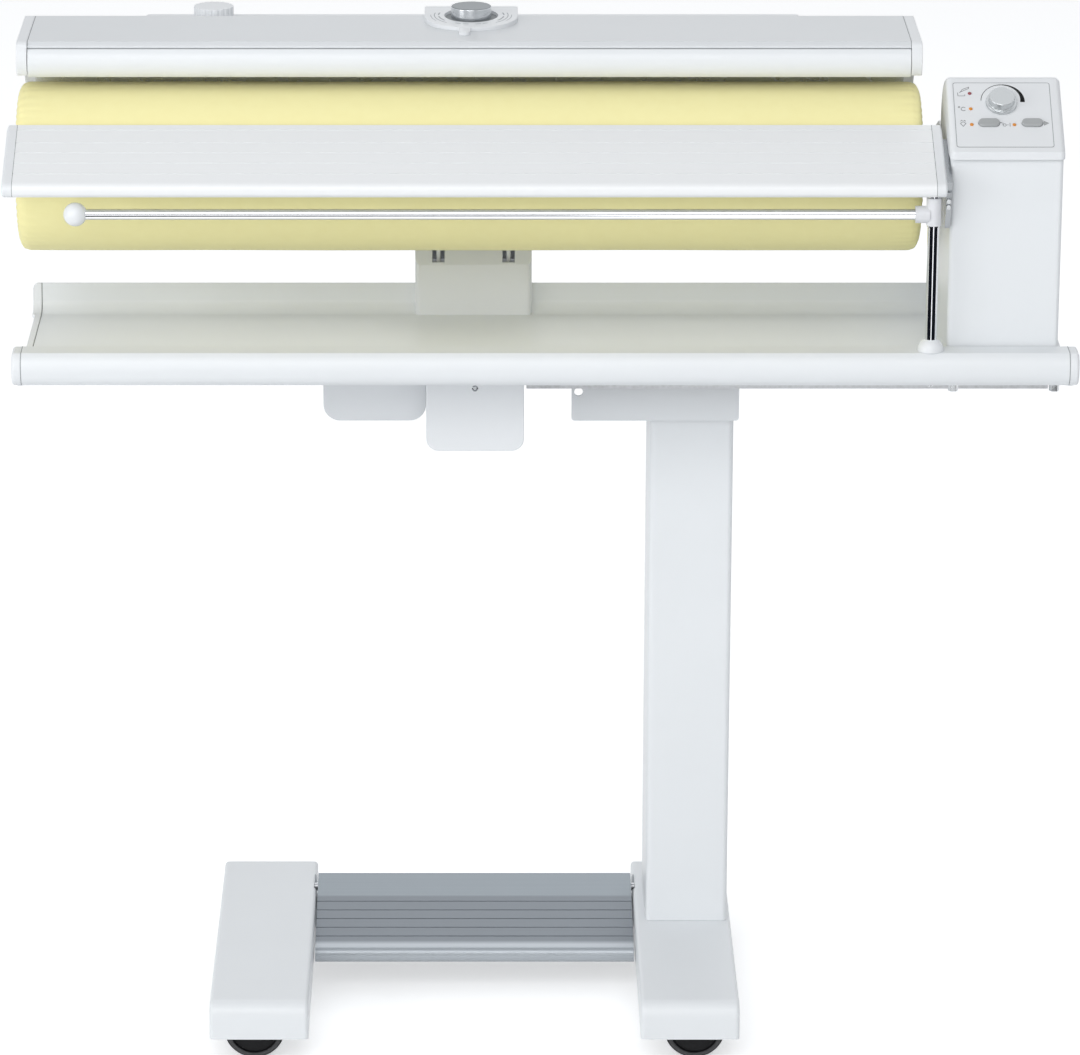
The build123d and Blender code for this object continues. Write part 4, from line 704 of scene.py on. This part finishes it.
for u, v in ((-31.9, 26.3), (-31.9, 7.3), (-31.9, -12.0), (7.4, -12.2)):
    known = len(lights.faces)
    spot = Matrix.Translation((u / 1000, v / 1000, 0.0002))
    dome = panel_face @ spot @ Matrix.Diagonal((1, 1, 0.5, 1))
    bmesh.ops.create_uvsphere(lights, u_segments=28, v_segments=14, radius=0.0018, matrix=dome)
    lights.faces.ensure_lookup_table()
    for face in lights.faces[known:]:
        face.smooth = True
        face.material_index = int(v > 20)
panel_lights = formed("panel_lights", lights, *lens_paints)
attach(panel_lights, "ironer_unit")
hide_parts("indicator_lights")

black_ink = inked("black_ink", (0.012, 0.013, 0.015))
speed_arc = []
for start in range(-2, 178, 2):
    if start in (44, 90, 130):
        continue
    swell = 0.55 + 3.7 * max(0.0, (104 - start) / 106) ** 1.3
    speed_arc.append((swell, arc(-1.7, 17.0, 20.4 - swell / 2, start, start + 2.1, 4)))
printed("speed_arc", "ironer_unit", black_ink, panel_face, speed_arc)
symbols = [
    (0.45, [
        (-40.4, 28.1), (-38.7, 31.1), (-32.3, 34.2), (-32.7, 32.4), (-40.4, 28.1), (-41.4, 27.2),
    ]),
    (0.45, [(-43.0, 27.2), (-42.9, 23.3), (-36.5, 23.3), (-36.4, 25.0)]),
    (0.45, arc(-42.6, 9.4, 0.8, 0, 360, 40)),
    (0.5, arc(-38.6, 7.2, 2.2, 42, 318, 25)),
    (0.45, [(-42.4, -10.4), (-39.8, -14.2), (-37.2, -10.4), (-39.8, -8.6), (-42.4, -10.4)]),
    (0.45, [(-42.2, -8.0), (-41.0, -6.6), (-40.2, -7.6)]),
    (0.45, [(-39.2, -7.6), (-38.4, -6.6), (-37.4, -8.0)]),
    (0.45, arc(-1.6, -12.5, 1.5, 0, 360, 30)),
    (0.45, [(-3.1, -12.5), (-3.1, -9.4)]),
    (0.4, arc(-4.9, -9.6, 0.6, 0, 360, 60)),
    (0.45, [(0.8, -12.3), (2.1, -12.3)]),
    (0.5, [(3.4, -10.0), (3.4, -14.2)]),
]
symbol_ink = inked("symbol_ink", (0.13, 0.135, 0.14))
printed("panel_symbols", "ironer_unit", symbol_ink, panel_face, symbols)
arrow = bmesh.new()
arrow_spot = Matrix.Translation((0.0364, -0.0103, 0.0))
bmesh.ops.create_cone(
    arrow, cap_ends=True, segments=3, radius1=0.0034, radius2=0.0034, depth=0.0004,
    matrix=panel_face @ arrow_spot @ Matrix.Rotation(radians(-90), 4, "Z"),
)
key_arrow = formed("key_arrow", arrow, key_grey)
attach(key_arrow, "ironer_unit")
# The panel's edge is a fine grey line of painted shade, for the shade in its seam.
outline = []
for x, y, start in ((40.3, 37.2, 0), (-44.7, 37.2, 90), (-44.7, -37.2, 180), (40.3, -37.2, 270)):
    outline += arc(x, y, 2.2, start, start + 90, 22)
seam_run = [(0.5, outline + outline[:1])]
printed("panel_seam", "ironer_unit", gap_painted_shade, panel_face, seam_run)

# ---------------------------------------------------------------- press arm cover and lift cover
# Both slots for the press arms share a moulding line on top of their cover, drawn as thin grey
# strips of painted shade for its groove, and one cross headed screw holds the front of the right
# lift cover.
cover_low, cover_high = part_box("press_cover")
lid_x = -0.064
lid_face = Matrix.Translation((lid_x, (cover_low.y + cover_high.y) / 2, cover_high.z))
lid_groove_shade = [
    (0.6, [(-28, -21.3), (28, -21.3)]),
    (0.5, [(-40, -21.3), (-47, -8.0), (-47, 20.0)]),
    (0.5, [(40, -21.3), (47, -8.0), (47, 20.0)]),
]
printed("cover_groove_shade", "ironer_unit", grey_ink, lid_face, lid_groove_shade)
lift_low, lift_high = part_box("lift_cover_right")
screw_x, screw_z = -0.0626, 0.6300
screw_line = [
    (0.0, 0.0), (0.0003, 0.0012), (-0.0002, 0.0014), (-0.0005, 0.0022), (0.0, 0.0030),
    (0.0006, 0.0032),
]
screw_head = turned(
    "cover_screw", screw_line, (screw_x, lift_low.y - 0.0001, screw_z), (0, 1, 0), arm_steel, 32
)
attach(screw_head, "ironer_unit")

# ---------------------------------------------------------------- joint lines of the end caps
# The moulded caps stop against the sheet with a hairline gap. The shade in that gap is painted
# as a fine grey line round the rail of the tray, the board and the hood.
def joint_line(name, node, body, low, high):
    """A slice of the node between two X places, laid on its surface as a hairline of painted
    shade.
    """
    lift, skin = 0.00007, 0.0002
    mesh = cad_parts[node].data.copy()
    mesh.name = name
    slice_shape = bmesh.new()
    slice_shape.from_mesh(mesh)
    bmesh.ops.remove_doubles(slice_shape, verts=slice_shape.verts, dist=0.00001)
    for x, way in ((low, -1), (high, 1)):
        bmesh.ops.bisect_plane(
            slice_shape, geom=slice_shape.verts[:] + slice_shape.edges[:] + slice_shape.faces[:],
            dist=0.000001, plane_co=(x, 0, 0), plane_no=(way, 0, 0), clear_outer=True,
        )
    flat_ends = [face for face in slice_shape.faces if abs(face.normal.x) > 0.9]
    bmesh.ops.delete(slice_shape, geom=flat_ends, context="FACES")
    for point in slice_shape.verts:
        point.normal_update()
        point.co += point.normal * lift
    for face in slice_shape.faces:
        face.smooth = True
    slice_shape.to_mesh(mesh)
    slice_shape.free()
    mesh.materials.clear()
    mesh.materials.append(gap_painted_shade)
    line = bpy.data.objects.new(name, mesh)
    bpy.context.scene.collection.objects.link(line)
    thickness = line.modifiers.new("thickness", "SOLIDIFY")
    thickness.thickness = skin
    thickness.offset = -1.0
    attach(line, body)


for name, node, body, low, high in (
    ("tray_joint_left", "tray", "ironer_unit", -0.4839, -0.4833),
    ("tray_joint_right", "tray", "ironer_unit", 0.4883, 0.4889),
    ("board_joint_left", "feed_board", "ironer_unit", -0.4881, -0.4876),
    ("board_joint_right", "feed_board", "ironer_unit", 0.3612, 0.3617),
    ("hood_joint_left", "heater_cover", "heater", -0.4809, -0.4803),
    ("hood_joint_right", "heater_cover", "heater", 0.3444, 0.3449),
):
    joint_line(name, node, body, low, high)

# ---------------------------------------------------------------- hanging rail
# A chromed bar in front of the board for hanging finished linen. It swings on a chromed post in
# a grey moulded tee, and ends in a white ball.
for node, body in (("rail_post", "ironer_unit"), ("laundry_rail", "hanging_rail")):
    dressed(node, body, chrome, 0.0)
tee_grey = moulded("tee_grey", (0.74, 0.75, 0.775), 0.45)
polished_white = moulded("polished_white", (0.80, 0.82, 0.84), 0.12)
dressed("rail_sleeve", "hanging_rail", tee_grey, 0.0004)
dressed("rail_ball", "hanging_rail", polished_white, 0.0)
dressed("post_base", "ironer_unit", polished_white, 0.0003)
bolt_zinc, bolt_shader, bolt_place = finish("bright_zinc", (0.62, 0.635, 0.65), 0.2, Metallic=1.0)
zinc_bloom = bolt_place.noise(300.0, 2.0)
plug(bolt_shader, Roughness=zinc_bloom.between(0.14, 0.3))
dressed("fixings", "ironer_unit", bolt_zinc, 0.0003)

# ---------------------------------------------------------------- inner plastics
# The bearing and the circuit board inside the housing.
repainted(("roller_bearing",), moulded("bearing_plastic", (0.05, 0.05, 0.055), 0.5))
repainted(("circuit_board",), moulded("circuit_green", (0.02, 0.14, 0.07), 0.4))
